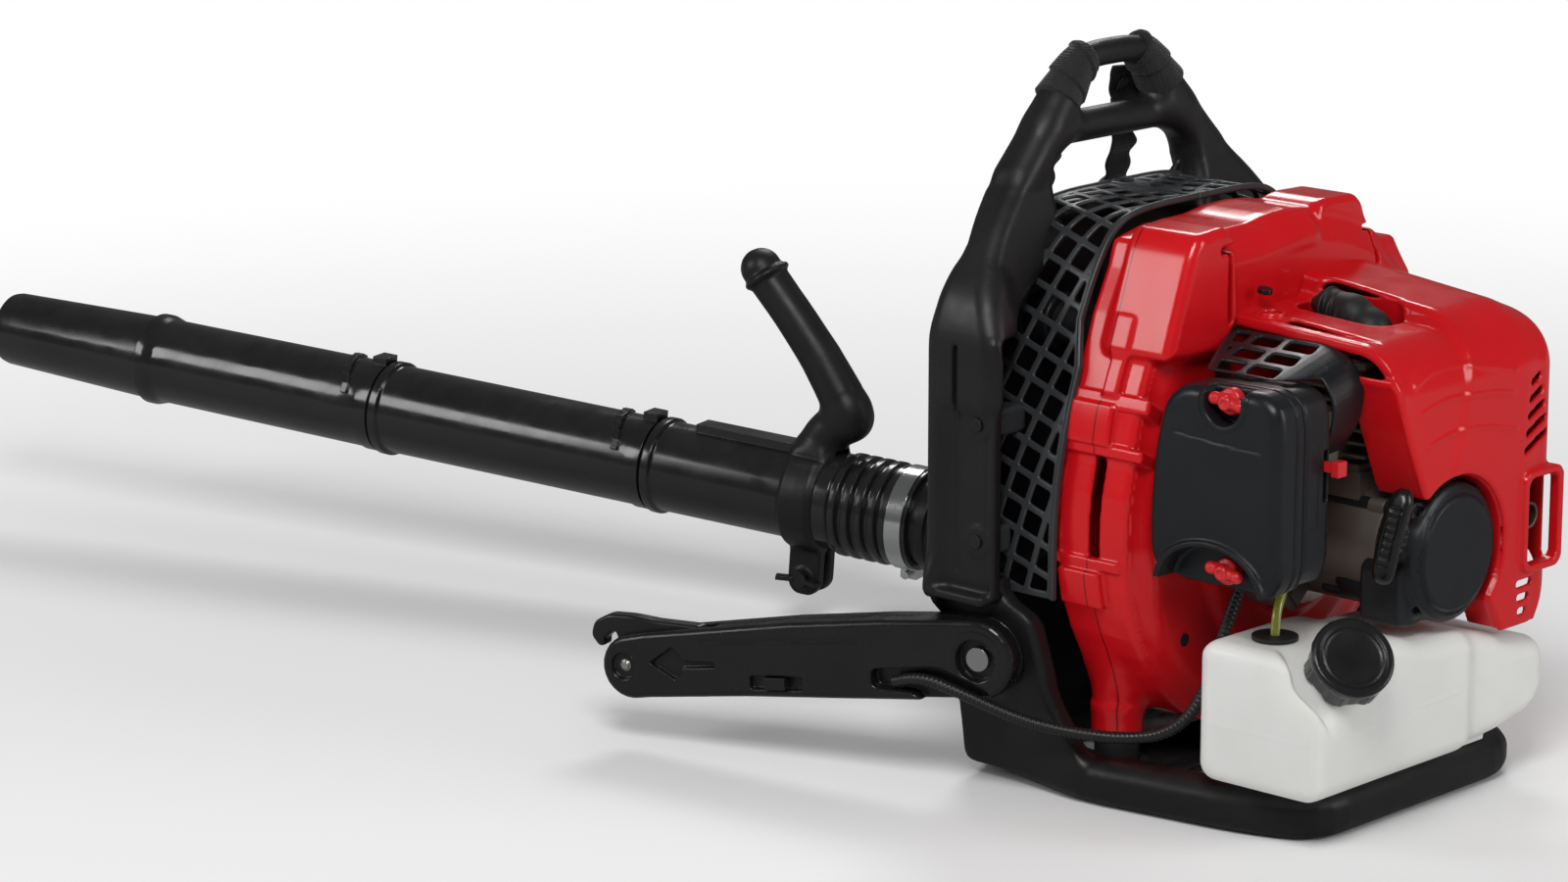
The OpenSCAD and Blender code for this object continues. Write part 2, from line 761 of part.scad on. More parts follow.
module ignition_coil() {
    color("#2b2d31") {
        translate([shaft_x - 16, -flywheel_front - 10, shaft_z + flywheel_r + coil_gap]) cube([32, 12, 20]);
        for (x = [-24, 14]) translate([shaft_x + x, -flywheel_front - 7, shaft_z + flywheel_r + coil_gap])
            cube([10.5, 6, 12]);
        translate([shaft_x + 10, -flywheel_front - 4, shaft_z + flywheel_r + 16]) rotate([0, 90, 0])
            cylinder(r = lead_r, h = 46);
        bar([shaft_x + 56, -flywheel_front - 4, shaft_z + flywheel_r + 16],
            [shaft_x + 56, cyl_y, boot_z + boot_h - 10], lead_r);
        bar([shaft_x + 56, cyl_y, boot_z + boot_h - 10],
            [shaft_x + boot_reach + seat_gap, cyl_y, boot_z + boot_h - 10], lead_r);
        for (p = [[shaft_x + 56, -flywheel_front - 4, shaft_z + flywheel_r + 16],
            [shaft_x + 56, cyl_y, boot_z + boot_h - 10]]) translate(p) sphere(r = lead_r);
    }
}

// ---- intake side
intake_y = cyl_y;
insulator_l = 22;
insulator_left = shaft_x - 44 - insulator_l;
carb_left = insulator_left - 34;
case_right = carb_left - seat_gap;

module intake_insulator() {
    color("#3b2f2a") difference() {
        translate([insulator_left, intake_y - 17, port_z - 17]) cube([insulator_l, 34, 34]);
        translate([insulator_left - 1, intake_y, port_z]) rotate([0, 90, 0])
            cylinder(r = port_r, h = insulator_l + 2);
    }
}

module carburettor() {
    color(steel) difference() {
        union() {
            translate([carb_left, intake_y - 20, port_z - 18]) cube([34, 40, 36]);
            translate([carb_left + 8, intake_y - 20.5, port_z - 10]) cube([16, 41, 18]);
            translate([carb_left + 17, intake_y, port_z - 24]) cylinder(r = 9, h = 8);
        }
        translate([carb_left - 1, intake_y, port_z]) rotate([0, 90, 0]) cylinder(r = port_r - 1, h = 36);
    }
}

cleaner_front = -166;
cleaner_low = 168;
cleaner_back = cleaner_front - cleaner_d;
case_left = -cleaner_out + cleaner_cover_d + seat_gap;

// Outline of the air cleaner in y and z
module cleaner_outline(inset) {
    translate([cleaner_back + inset, cleaner_low + inset])
        round_rect(cleaner_d - 2 * inset, cleaner_h - 2 * inset, cleaner_corner_r - inset / 3);
}

choke_z = port_z - 10;

module air_cleaner_case() {
    color(satin) difference() {
        union() {
            along_x(case_left, case_right - case_left) cleaner_outline(2);
            along_x(case_left - 8, 9) cleaner_outline(5);
            // bosses that carry the cover's knobs
            for (z = [cleaner_low + 9, cleaner_low + cleaner_h - 9]) translate([case_left - 9, knob_y, z])
                rotate([0, 90, 0]) cylinder(r = 4, h = 11);
        }
        along_x(case_left - 9, case_right - case_left + 4) cleaner_outline(18);
        translate([case_left, intake_y, port_z]) rotate([0, 90, 0])
            cylinder(r = port_r, h = case_right - case_left + 1);
        translate([case_right - 9, cleaner_back + 1, choke_z - 17]) cube([5, 22, 34]);
        for (z = [cleaner_low + 9, cleaner_low + cleaner_h - 9]) translate([case_left - 13, knob_y, z])
            rotate([0, 90, 0]) cylinder(r = 2.5 + run_gap, h = 20);
    }
}

knob_y = cleaner_front - cleaner_d / 2 - 4;

module air_filter() {
    color("#d8d2bf") along_x(case_left - 9, case_right - case_left - 4) difference() {
        cleaner_outline(18 + seat_gap);
        cleaner_outline(34);
    }
}

notch_r = 15;
notch_floor = -cleaner_out + cleaner_cover_d - 13;
knob_z = [cleaner_low + 9, cleaner_low + cleaner_h - 9];

// Outline in y and z of the notch that leaves a knob free
module notch_outline(s, grow) {
    translate([knob_y, knob_z[s]]) {
        circle(r = notch_r + grow);
        translate([-notch_r - grow, s ? 0 : -12]) square([2 * notch_r + 2 * grow, 12]);
    }
}

module air_cleaner_cover() {
    color(satin) difference() {
        union() {
            difference() {
                union() {
                    along_x(-cleaner_out + 5, cleaner_cover_d - 5) cleaner_outline(0);
                    along_x(-cleaner_out, 5.1) cleaner_outline(5);
                }
                along_x(-cleaner_out + 4, cleaner_cover_d) cleaner_outline(5 - loose_gap);
            }
            along_x(-cleaner_out + 8, 6) polygon([[cleaner_front - 2, cleaner_low + 20],
                [cleaner_front + 6, cleaner_low - 4], [cleaner_front - 20, cleaner_low + 2]]);
            // walls and floors of the notches
            intersection() {
                for (s = [0, 1]) along_x(-cleaner_out + 0.5, cleaner_cover_d - 10.5) notch_outline(s, 2);
                along_x(-cleaner_out, cleaner_cover_d) cleaner_outline(0.5);
            }
        }
        for (s = [0, 1]) {
            along_x(-cleaner_out - 1, cleaner_cover_d - 12) notch_outline(s, 0);
            translate([-cleaner_out, knob_y, knob_z[s]]) rotate([0, 90, 0])
                cylinder(r = 2.5 + run_gap, h = cleaner_cover_d);
        }
    }
}

module cover_knob(z) {
    color(red) translate([-cleaner_out + cleaner_cover_d - 13 - seat_gap, knob_y, z])
        rotate([0, -90, 0]) {
            cylinder(r = knob_r, h = 8);
            translate([-4.5, -13, 3]) cube([9, 26, 9]);
            translate([0, 0, -20]) cylinder(r = 2.5, h = 21);
        }
}

module cover_knob_top() { cover_knob(cleaner_low + cleaner_h - 9); }
module cover_knob_bottom() { cover_knob(cleaner_low + 9); }

// Lever whose red tip stands out of the case's rear wall
module choke_lever() {
    color(red) {
        translate([case_right - 8.5, cleaner_back - 7, choke_z + 3]) cube([4, 24, 6]);
        translate([case_right - 11, cleaner_back - 11, choke_z + 1]) cube([9, 6, 10]);
    }
}

shroud_left = -118;
shroud_right = -53;
shroud_z = cleaner_low + cleaner_h + 1;
shroud_wall = 3;

// Profile of the duct in y and z
module shroud_profile(i) {
    polygon([[-152 - i, 246], [-152 - i, 306 - i], [-162 - i / 2, 312 - i], [-236 + i / 2, 312 - i],
        [-248 + i, 302 - i / 2], [-254 + i, 286], [-248 + i, 266], [-238 + i, 254], [-228 + i, 246]]);
}

// Slotted duct over the carburettor and the air cleaner's case
module intake_shroud() {
    color(satin) difference() {
        along_x(shroud_left, shroud_right - shroud_left) shroud_profile(0);
        along_x(shroud_left + shroud_wall, shroud_right - shroud_left) shroud_profile(shroud_wall);
        // room for the case and the carburettor
        translate([shroud_left - 1, -270, 0]) cube([case_right + 1 - shroud_left, 130, shroud_z]);
        translate([shroud_left - 1, -252, 0]) cube([80, 130, 247]);
        for (i = [0:2]) translate([-112 + i * 19, -226, 300]) cube([12, 62, 20]);
    }
}

// ---- exhaust
muffler_left = shaft_x + 44;
muffler_w = 54;
muffler_low = 152;
muffler_h = 118;
tail_x = 101;
tail_z = 180;

module muffler() {
    color("#4a4744") difference() {
        union() {
            translate([muffler_left + 6, -cover_back + 20, muffler_low])
                cube([muffler_w, muffler_l - 6, muffler_h]);
            translate([muffler_left, cyl_y - 16, port_z - 14]) cube([7, 32, 28]);
            translate([tail_x, -cover_back + 21, tail_z]) rotate([90, 0, 0]) cylinder(r = 9, h = 16);
        }
        translate([tail_x, -cover_back + 30, tail_z]) rotate([90, 0, 0]) cylinder(r = 7, h = 26);
        translate([muffler_left + 8, -cover_back + 22, muffler_low + 2])
            cube([muffler_w - 4, muffler_l - 10, muffler_h - 4]);
    }
}

// ---- engine cover
cover_front_y = -casing_rear - seat_gap;
cover_slope = atan((cover_front_z - cover_rear_z) / (cover_back - 18 + cover_front_y));

function cover_top_z(y) = cover_front_z + (y - cover_front_y) * tan(cover_slope);

// Profile of the cover in y and z
function cover_profile(i) = concat([[cover_front_y + (i > 0 ? 1 : 0), cover_top_z(cover_front_y) - i]],
    [[-cover_back + 20, cover_top_z(-cover_back + 20) - i]],
    [for (a = [15:15:75]) [-cover_back + 20 - (20 - i) * sin(a),
        cover_top_z(-cover_back + 20) - 22 + (22 - i) * cos(a)]],
    [[-cover_back + i, cover_top_z(-cover_back + 20) - 22],
    [-cover_back + i, cover_low_z - (i > 0 ? 1 : 0)],
    [cover_front_y + (i > 0 ? 1 : 0), cover_low_z - (i > 0 ? 1 : 0)]]);

cover_corner_r = 44;

// Profile of the cover in x, seen along its sloping top
module cover_section(i) {
    translate([cover_left - (i > 0 ? 1 : 0), -260])
        square([cover_w - cover_corner_r + (i > 0 ? 1 : 0), 260 - i]);
    translate([cover_left, -260]) square([cover_w - i, 260 - cover_corner_r]);
    translate([cover_right - cover_corner_r, -cover_corner_r]) circle(r = cover_corner_r - i);
}

module cover_shape(i) {
    intersection() {
        along_x(cover_left - 1, cover_w + 2) polygon(cover_profile(i));
        translate([0, cover_front_y + 60, cover_top_z(cover_front_y + 60)])
            rotate([90 + cover_slope, 0, 0]) linear_extrude(260)
                cover_section(i);
    }
}

cover_w = cover_right - cover_left;
window_x = 82;
window_z = 146;
window_h = 66;

module engine_cover() {
    color(red) difference() {
        union() {
            difference() {
                cover_shape(0);
                cover_shape(cover_wall);
            }
            along_y(-cover_back + 0.5, 6) difference() {
                translate([window_x - 4, window_z - 4]) square([cover_right - window_x + 4, window_h + 8]);
                translate([window_x, window_z]) square([cover_right - window_x - 5, window_h]);
            }
        }
        // arch over the starter and the open lower left of the rear face
        translate([shaft_x, -cover_back + 9, shaft_z]) rotate([90, 0, 0])
            cylinder(r = starter_r + 6, h = 20);
        along_y(-cover_back + 9, 20) polygon([[cover_left - 1, 0], [60, 0], [60, cover_low_z + 4],
            [shaft_x + 30, shaft_z - 30], [shaft_x, shaft_z + 30], [-28, 222], [cover_left - 1, 292]]);
        // the right wall only reaches down to the window's flange
        along_x(cover_right - 10, 20) polygon([[-cover_back + 8, 0], [cover_front_y + 2, 0],
            [cover_front_y + 2, 240], [-200, 200], [-cover_back + 8, window_z - 4]]);
        // lower right corner of the rear face slopes
        along_y(-cover_back + 9, 20) polygon([[98, 0], [cover_right + 1, 0],
            [cover_right + 1, window_z - 6], [102, cover_low_z + 2]]);
        along_y(-cover_back + 9, 20) translate([window_x, window_z])
            square([cover_right - window_x - 5, window_h]);
        translate([-6, -224, 290]) linear_extrude(60) round_rect(66, 48, 18);
        translate([shaft_x, cover_front_y + 1, shaft_z]) rotate([90, 0, 0]) {
            cylinder(r = 90 + seat_gap, h = 9 + seat_gap);
            cylinder(r = 66 + seat_gap, h = 13 + seat_gap);
        }
        // cooling slots above and below the window
        for (i = [0:4]) translate([76, -cover_back - 1, 226 + i * 10]) rotate([0, -22, 0])
            cube([32 - i * 3, 12, 4.5]);
        for (i = [0:2]) translate([78 + i, -cover_back - 1, 118 + i * 9]) cube([12 + i * 3, 12, 4]);
    }
}

// ---- recoil starter
starter_back = cover_back - 2;
starter_depth = starter_back - starter_front;
reel_w = 12;
reel_front = starter_back - 5 - reel_w;
pull_tilt = 10;
pull_z = shaft_z + 18;
pull_y = -reel_front - reel_w / 2;
eye_x = shaft_x - starter_r + 2;
pull_turn = 18;
grip_w = 22;
grip_gap = 0.5;

module pull_place() {
    translate([eye_x, pull_y, pull_z]) rotate([0, -90 + pull_tilt, pull_turn]) children();
}

module starter_housing() {
    color(satin) difference() {
        union() {
            translate([shaft_x, -starter_front, shaft_z]) rotate([90, 0, 0])
                cylinder(r = starter_r, h = starter_depth);
            translate([shaft_x, -starter_back + 1, shaft_z]) rotate([90, 0, 0])
                cylinder(r = starter_disc_r, h = 3);
            pull_place() translate([0, 0, -18]) cylinder(r = 9, h = 20);
            translate([shaft_x - starter_r, -starter_front - 20, shaft_z - 40]) cube([20, 20, 40]);
            for (a = [45, 135, 225, 315]) translate([shaft_x, -case_back - seat_gap, shaft_z])
                rotate([90, a, 0]) translate([crankcase_r - 2, 0, 0])
                    cylinder(r = 5, h = starter_front - case_back + 6);
        }
        translate([shaft_x, -starter_front + 1, shaft_z]) rotate([90, 0, 0])
            cylinder(r = starter_r - 4, h = starter_depth - 2);
        pull_place() translate([0, 0, -40]) cylinder(r = rope_d / 2 + loose_gap, h = 60);
    }
    // post that the reel turns on
    color(satin) translate([shaft_x, -starter_back + 3, shaft_z]) rotate([-90, 0, 0])
        cylinder(r = 6, h = reel_w + 3);
}

module starter_reel() {
    color("#d8d8d4") translate([shaft_x, -reel_front, shaft_z]) rotate([90, 0, 0]) difference() {
        union() {
            cylinder(r = reel_r + 4, h = 2.5);
            cylinder(r = reel_r, h = reel_w);
            translate([0, 0, reel_w - 2.5]) cylinder(r = reel_r + 4, h = 2.5);
        }
        translate([0, 0, -1]) cylinder(r = 6 + run_gap, h = reel_w + 2);
        translate([0, 0, 3]) difference() {
            cylinder(r = reel_r - 5, h = reel_w);
            translate([0, 0, -1]) cylinder(r = 10, h = reel_w + 2);
        }
    }
}

// Flat spiral spring as nested turns joined by steps
module recoil_spring() {
    turns = 4;
    color(steel) translate([shaft_x, -reel_front - 4, shaft_z]) rotate([90, 0, 0])
        linear_extrude(reel_w - 5) difference() {
            circle(r = reel_r - 6);
            circle(r = 11);
            for (i = [0:turns - 1]) difference() {
                circle(r = 13.2 + i * 3);
                circle(r = 11.8 + i * 3);
                rotate(i * 180) translate([5, -1]) square([30, 2]);
            }
        }
}

module starter_dog() {
    color(steel) translate([shaft_x, -case_back - 3, shaft_z]) rotate([90, 0, 0]) difference() {
        union() {
            cylinder(r = 20, h = 5);
            for (a = [0, 180]) rotate(a) translate([12, -4, 4]) cube([7, 8, reel_front - case_back - 8]);
        }
        translate([0, 0, -1]) cylinder(r = journal_r, h = 20);
    }
}

module starter_rope() {
    color("#e8e6df") pull_place() translate([0, 0, -7])
        cylinder(r = rope_d / 2, h = 7 + 12);
}

// T-shaped pull handle with its neck
module starter_grip() {
    color(satin) pull_place() translate([0, 0, 2 + grip_gap]) difference() {
        union() {
            cylinder(r1 = 9, r2 = 6, h = 10);
            translate([7 - grip_l / 2, -grip_w / 2, 9]) cube([grip_l - 14, grip_w, 15]);
            for (s = [-1, 1]) translate([s * (grip_l / 2 - 7), -grip_w / 2, 16.5]) rotate([-90, 0, 0])
                cylinder(r = 7.5, h = grip_w);
        }
        translate([0, 0, -1]) cylinder(r = rope_d / 2 + run_gap, h = 11);
    }
}

// ---- fuel system
tank_left = -146;
tank_low = base_h + 6;
tank_front = -195;
tank_top = tank_low + tank_h;
tank_right = tank_left + tank_w;
neck_at = [-100, tank_front - tank_d + 14, tank_top - 16];
neck_turn = 32;
neck_tilt = 52;
neck_l = 24;

// Outline of the tank in x and z
module tank_outline(i) {
    polygon([[tank_left + i, tank_low + 14 + i / 2], [tank_left + i, tank_top - 12 - i / 2],
        [tank_left + 4 + i, tank_top - 4 - i / 2], [tank_left + 14 + i / 2, tank_top - i],
        [-46 - i / 2, tank_top - 1 - i], [-30 - i / 2, tank_top - 8 - i], [20, tank_top - 11 - i],
        [60, tank_top - 22 - i], [96, tank_top - 30 - i], [tank_right - 8 - i / 2, tank_top - 38 - i],
        [tank_right - i, tank_top - 50 - i], [tank_right - i, tank_low + 24 + i / 2],
        [tank_right - 6 - i, tank_low + 12 + i], [tank_right - 20 - i, tank_low + 5 + i],
        [tank_right - 60, tank_low + i], [tank_left + 14 + i / 2, tank_low + i],
        [tank_left + 4 + i, tank_low + 4 + i / 2]]);
}

// The same tank seen from above, with rounded corners
module tank_plan(i) {
    translate([tank_left + i, tank_front - tank_d + i])
        round_rect(tank_w - 2 * i, tank_d - 2 * i, 16 - i);
}

module tank_shape(i) {
    intersection() {
        along_y(tank_front - i, tank_d - 2 * i) tank_outline(i);
        translate([0, 0, tank_low - 1]) linear_extrude(tank_h + 2) tank_plan(i);
    }
}

module neck_place() {
    translate(neck_at) rotate([0, 0, -neck_turn]) rotate([neck_tilt, 0, 0]) children();
}

grommet_at = [-108, -232];
grommet_r = 8;

// Space above the slanted face round the filler
module cap_room(lower) {
    neck_place() translate([0, 0, 5.5 - lower]) cylinder(r = cap_r + 6 + lower, h = 50);
}

module fuel_tank() {
    color(white) difference() {
        union() {
            difference() {
                tank_shape(0);
                cap_room(0);
            }
            for (x = [-90, 60]) translate([x, -base_depth - 12, base_h]) cube([30, 24, 7]);
            neck_place() cylinder(r = neck_r, h = neck_l);
        }
        difference() {
            tank_shape(tank_wall);
            cap_room(tank_wall);
        }
        neck_place() translate([0, 0, -12]) cylinder(r = neck_r - tank_wall, h = neck_l + 20);
        translate([grommet_at[0], grommet_at[1], tank_top - 20]) cylinder(r = grommet_r, h = 30);
    }
}

line_r = 3;

module tank_grommet() {
    color(satin) translate([grommet_at[0], grommet_at[1], 0]) difference() {
        union() {
            translate([0, 0, tank_top]) cylinder(r = grommet_r + 7, h = 3);
            translate([0, 0, tank_top - 8]) cylinder(r = grommet_r - 0.01, h = 10);
        }
        translate([0, 0, tank_top - 9]) cylinder(r = line_r, h = 20);
    }
}

// Route of the fuel line, from the filter up to the carburettor
line_route = [[-108, -232, 50], [-108, -232, 72], [-108, -232, 108], [-108, -232, 138],
    [-103, -230, 149], [-92, -226, 158], [-80, -220, 168], [-75, -212, 188], [-72, -205, 208],
    [-71, -205, port_z - 24 - seat_gap]];
pickup_l = 24;

module fuel_line() {
    line = smooth(line_route, 2);
    steps = path_steps(line);
    total = steps[len(steps) - 1];
    n = ceil((total - pickup_l) / 6);
    // the pickup filter is the thick end
    rings = concat([[0, 8], [pickup_l, 8], [pickup_l + 0.5, line_r]],
        [for (i = [1:n]) [pickup_l + (total - pickup_l) * i / n - 0.01, line_r]]);
    color("#c5cf3a") closed_tube([for (r = rings) each ring_at(line, steps, r[0], r[1])], 8);
}

module cap_gasket() {
    color("#303236") neck_place() translate([0, 0, neck_l + seat_gap]) difference() {
        cylinder(r = neck_r, h = 1);
        translate([0, 0, -1]) cylinder(r = neck_r - 5, h = 4);
    }
}

module fuel_cap() {
    color(black) neck_place() difference() {
        union() {
            translate([0, 0, neck_l + 4 + seat_gap - cap_h]) linear_extrude(cap_h)
                polygon([for (a = [0:10:350])
                    (cap_r - (a % 30 == 0 ? 2.8 : 0.8)) * [cos(a), sin(a)]]);
            translate([0, 0, neck_l + 4 + seat_gap - 2]) cylinder(r = cap_r, h = 3);
        }
        translate([0, 0, neck_l + seat_gap + 1.3 - 60]) cylinder(r = neck_r + loose_gap, h = 60);
    }
}

// ---- throttle cable conduit
conduit_route = [[-197, 13, 71.5], [-193.5, 0, 75.5], [-190.5, -13, 76], [-187, -27, 72.5],
    [-182.5, -41, 68], [-176, -56, 62], [-168, -74, 56], [-159, -94, 52], [-149, -114, 50],
    [-140, -134, 50], [-131, -157, 54], [-124, -174, 66], [-116, -183, 86], [-106, -185, 112],
    [-96, -188, 138], [-86, -192, 162], [-80, -192, 190], [-78, -190, port_z - 18 - seat_gap]];

function smooth(list, n) = n == 0 ? list : smooth(concat([list[0]],
    [for (i = [0:len(list) - 2]) each [0.75 * list[i] + 0.25 * list[i + 1],
        0.25 * list[i] + 0.75 * list[i + 1]]], [list[len(list) - 1]]), n - 1);

function path_steps(list) = [for (i = 0, s = 0; i < len(list);
    s = s + (i + 1 < len(list) ? norm(list[i + 1] - list[i]) : 0), i = i + 1) s];

function at_step(list, steps, s) =
    let (k = len([for (q = steps) if (q <= s) 1]) - 1, i = min(k, len(list) - 2))
        list[i] + (list[i + 1] - list[i]) * (s - steps[i]) / (steps[i + 1] - steps[i]);

conduit_line = smooth(conduit_route, 2);
conduit_steps = path_steps(conduit_line);
conduit_length = conduit_steps[len(conduit_steps) - 1];
conduit_ribs = floor(conduit_length / conduit_rib);
conduit_sides = 8;
conduit_bore_r = conduit_d / 2 - 1.5;

function cross_at(list, steps, s) =
    let (a = at_step(list, steps, max(s - 1, 0)),
        b = at_step(list, steps, min(s + 1, steps[len(steps) - 1] - 0.001)),
        t = (b - a) / norm(b - a), u = cross(t, [0.6, 0.8, 0]), v = u / norm(u)) [v, cross(t, v)];

function ring_at(list, steps, s, r) =
    let (c = at_step(list, steps, s), f = cross_at(list, steps, s))
        [for (k = [0:conduit_sides - 1]) let (a = k * 360 / conduit_sides)
            c + r * (f[0] * cos(a) + f[1] * sin(a))];

// Side faces of a tube through n rings of m points each
function tube_faces(n, m) = [for (i = [0:n - 2], k = [0:m - 1]) each [
    [i * m + k, i * m + (k + 1) % m, (i + 1) * m + k],
    [i * m + (k + 1) % m, (i + 1) * m + (k + 1) % m, (i + 1) * m + k]]];

module closed_tube(points, m) {
    last = len(points) - m;
    polyhedron(points, concat(tube_faces(len(points) / m, m), [for (k = [1:m - 2]) [0, k + 1, k]],
        [for (k = [1:m - 2]) [last, last + k, last + k + 1]]));
}

rib_rings = [for (i = [0:conduit_ribs - 1], j = [0, 1])
    [(i + 0.1 + j * 0.55) * conduit_rib, conduit_d / 2 - j * 0.9]];
bore_rings = [for (i = [0:2:conduit_ribs - 1]) [(i + 0.1) * conduit_rib, conduit_bore_r]];

// Ribbed conduit with its bore, swept along the route
module ribbed_conduit() {
    last = (conduit_ribs - 1 + 0.65) * conduit_rib;
    outer = [for (r = rib_rings) each ring_at(conduit_line, conduit_steps, r[0], r[1])];
    inner = [for (r = concat(bore_rings, [[last, conduit_bore_r]]))
        each ring_at(conduit_line, conduit_steps, r[0], r[1])];
    m = conduit_sides;
    no = len(outer) / m;
    ni = len(inner) / m;
    base = len(outer);
    polyhedron(concat(outer, inner), concat(tube_faces(no, m),
        [for (f = tube_faces(ni, m)) [f[2] + base, f[1] + base, f[0] + base]],
        [for (k = [0:m - 1]) each [
            [k, base + k, (k + 1) % m], [(k + 1) % m, base + k, base + (k + 1) % m]]],
        [for (k = [0:m - 1]) let (o = (no - 1) * m, n = base + (ni - 1) * m) each [
            [o + k, o + (k + 1) % m, n + k], [o + (k + 1) % m, n + (k + 1) % m, n + k]]]));
}

module throttle_conduit() { color(satin) ribbed_conduit(); }

// ---- throttle arm
// The arm lies along local +Z from the pivot, its thickness is along local X,
// and local -Y is up.
module arm_place() {
    translate(arm_pivot) rotate([-(90 - arm_pitch), 0, arm_yaw]) children();
}

arm_tip_r = 22;
lever_pin_r = 3;
shell_wall = 3;
arm_half = arm_t / 2;
pin_at = [arm_l - 3, -11];

// Side outline of the arm
module arm_outline(i) {
    polygon(concat([for (a = [90:15:270]) (arm_pivot_r + 2 - i) * [cos(a), sin(a)]],
        [[28, -28 + i], [100, -29 + i], [175, -30 + i], [arm_l - 20, -33 + i]],
        [for (a = [-90:15:75]) [arm_l - 8, -12] + (arm_tip_r - i) * [cos(a), sin(a)]],
        [[arm_l - 20, 12 - i], [215, 15 - i], [139, 22 - i], [66, 26 - i]]));
}

// Places an outline drawn with the arm's length along x and up along y
module arm_plate(from, depth) {
    arm_place() rotate([0, -90, 0]) translate([0, 0, from])
        mirror([0, 1, 0]) linear_extrude(depth) children();
}

switch_at = 130;
switch_l = 40;

module arm_shell(side) {
    difference() {
        arm_plate(side > 0 ? 0 : -arm_half, arm_half) arm_outline(0);
        arm_plate(side > 0 ? -1 : -arm_half + shell_wall, arm_half - shell_wall + 1)
            difference() {
                arm_outline(shell_wall);
                circle(r = 18);
                translate(pin_at) circle(r = 12);
                translate([arm_l - 84, -8]) circle(r = 5);
            }
        arm_plate(-arm_half - 1, arm_t + 2) circle(r = pivot_r + run_gap);
        arm_plate(-arm_half - 1, arm_t + 2) translate(pin_at) circle(r = lever_pin_r + run_gap);
        // opening along the top for the lever, and the conduit's slot
        arm_plate(-lever_t / 2 - loose_gap, lever_t + 2 * loose_gap)
            translate([arm_l - 72, -25]) square([110, 64]);
    }
}

lever_t = 12;

module arm_shell_outer() {
    color(satin) difference() {
        arm_shell(1);
        // recesses for the bolt and the pin, and the switch's window
        arm_plate(arm_half - 8, 10) circle(r = 14);
        arm_plate(arm_half - 1.5, 10) translate(pin_at) circle(r = 9);
        arm_plate(arm_half - 5, 10) translate([switch_at, -24]) square([switch_l, 9]);
        // groove that holds the conduit
        arm_plate(arm_half - 10, 12) polygon([[-10, -40], [-8, -20], [28, -6], [74, -8],
            [74, -24], [42, -24], [26, -40]]);
    }
}

module arm_shell_inner() { color(satin) arm_shell(-1); }

module arm_pivot_bolt() {
    color("#c9d3c2") arm_axis() rotate([0, 90, 0]) {
        translate([0, 0, -arm_half + 8 - 4]) cylinder(r = pivot_r + 3, h = 4 - seat_gap);
        translate([0, 0, -arm_half + 7]) cylinder(r = pivot_r, h = arm_t + 28);
        translate([0, 0, boss_out + 14 + seat_gap]) cylinder(r = 9, h = 6, $fn = 6);
    }
}

// Trigger lever with its hooked tip
module throttle_lever() {
    color(satin) arm_plate(-lever_t / 2, lever_t) {
            translate(pin_at) circle(r = 7.5);
            polygon([[arm_l - 62, 3], [arm_l - 62, 17], [arm_l - 26, 18], [arm_l - 8, 21],
                [arm_l + 10, 22], [arm_l + 24, 16], [arm_l + 25, 5], [arm_l + 16, 0],
                [arm_l + 14, 6], [arm_l + 4, 12], [arm_l + 2, -11], [arm_l - 8, -11],
                [arm_l - 16, 5]]);
    }
    color(steel) arm_plate(-arm_half + 1, arm_t - 5) translate(pin_at) circle(r = lever_pin_r);
}

module stop_switch() {
    color(red) arm_plate(arm_half - 5 + seat_gap, 7) translate([switch_at + 12, -24 + loose_gap])
        square([16, 9 - 2 * loose_gap]);
}

// ---- blower pipe
flex_at = 245;
flex_l = 70;
cuff_l = 22;
swivel_start = flex_at + flex_l - 3;
joint_a = 489;
swivel_l = joint_a - swivel_start;
joint_b = joint_a + mid_l;
lap = 28;

module pipe_place() {
    translate(pipe_at) rotate([-(90 - pipe_pitch), 0, pipe_yaw]) children();
}

// A hollow round piece along the pipe: stations of [position, outer radius], and its bore
module turned(stations, bore) {
    rotate_extrude() polygon(concat([for (p = stations) [p[1], p[0]]],
        [[bore, stations[len(stations) - 1][0]], [bore, stations[0][0]]]));
}

module elbow() {
    color(satin) pipe_place() {
        turned([[bend_start, elbow_r], [flex_at - 16, elbow_r], [flex_at - 14, elbow_r + 2],
            [flex_at - 8, elbow_r + 2], [flex_at - 6, elbow_r - 2], [flex_at + 16, elbow_r - 2]],
            elbow_r - elbow_wall);
        // bend up to the casing's outlet
        translate([0, -bend_r, bend_start]) rotate([0, 90, 0]) rotate([0, 0, 90]) mirror([0, 1, 0])
            rotate_extrude(angle = 90 + pipe_pitch) translate([bend_r, 0]) difference() {
                circle(r = elbow_r);
                circle(r = elbow_r - elbow_wall);
            }
    }
    // collar that slips over the outlet
    color(satin) translate(outlet_at) difference() {
        translate([0, 0, -3]) cylinder(r = elbow_r + 1.5, h = outlet_low - outlet_at[2] + 3 - seat_gap);
        translate([0, 0, -4]) cylinder(r = elbow_r - 2, h = 40);
    }
}

bellows_ribs = 4;
bellows_start = flex_at + cuff_l;
bellows_l = flex_l - cuff_l - 4;

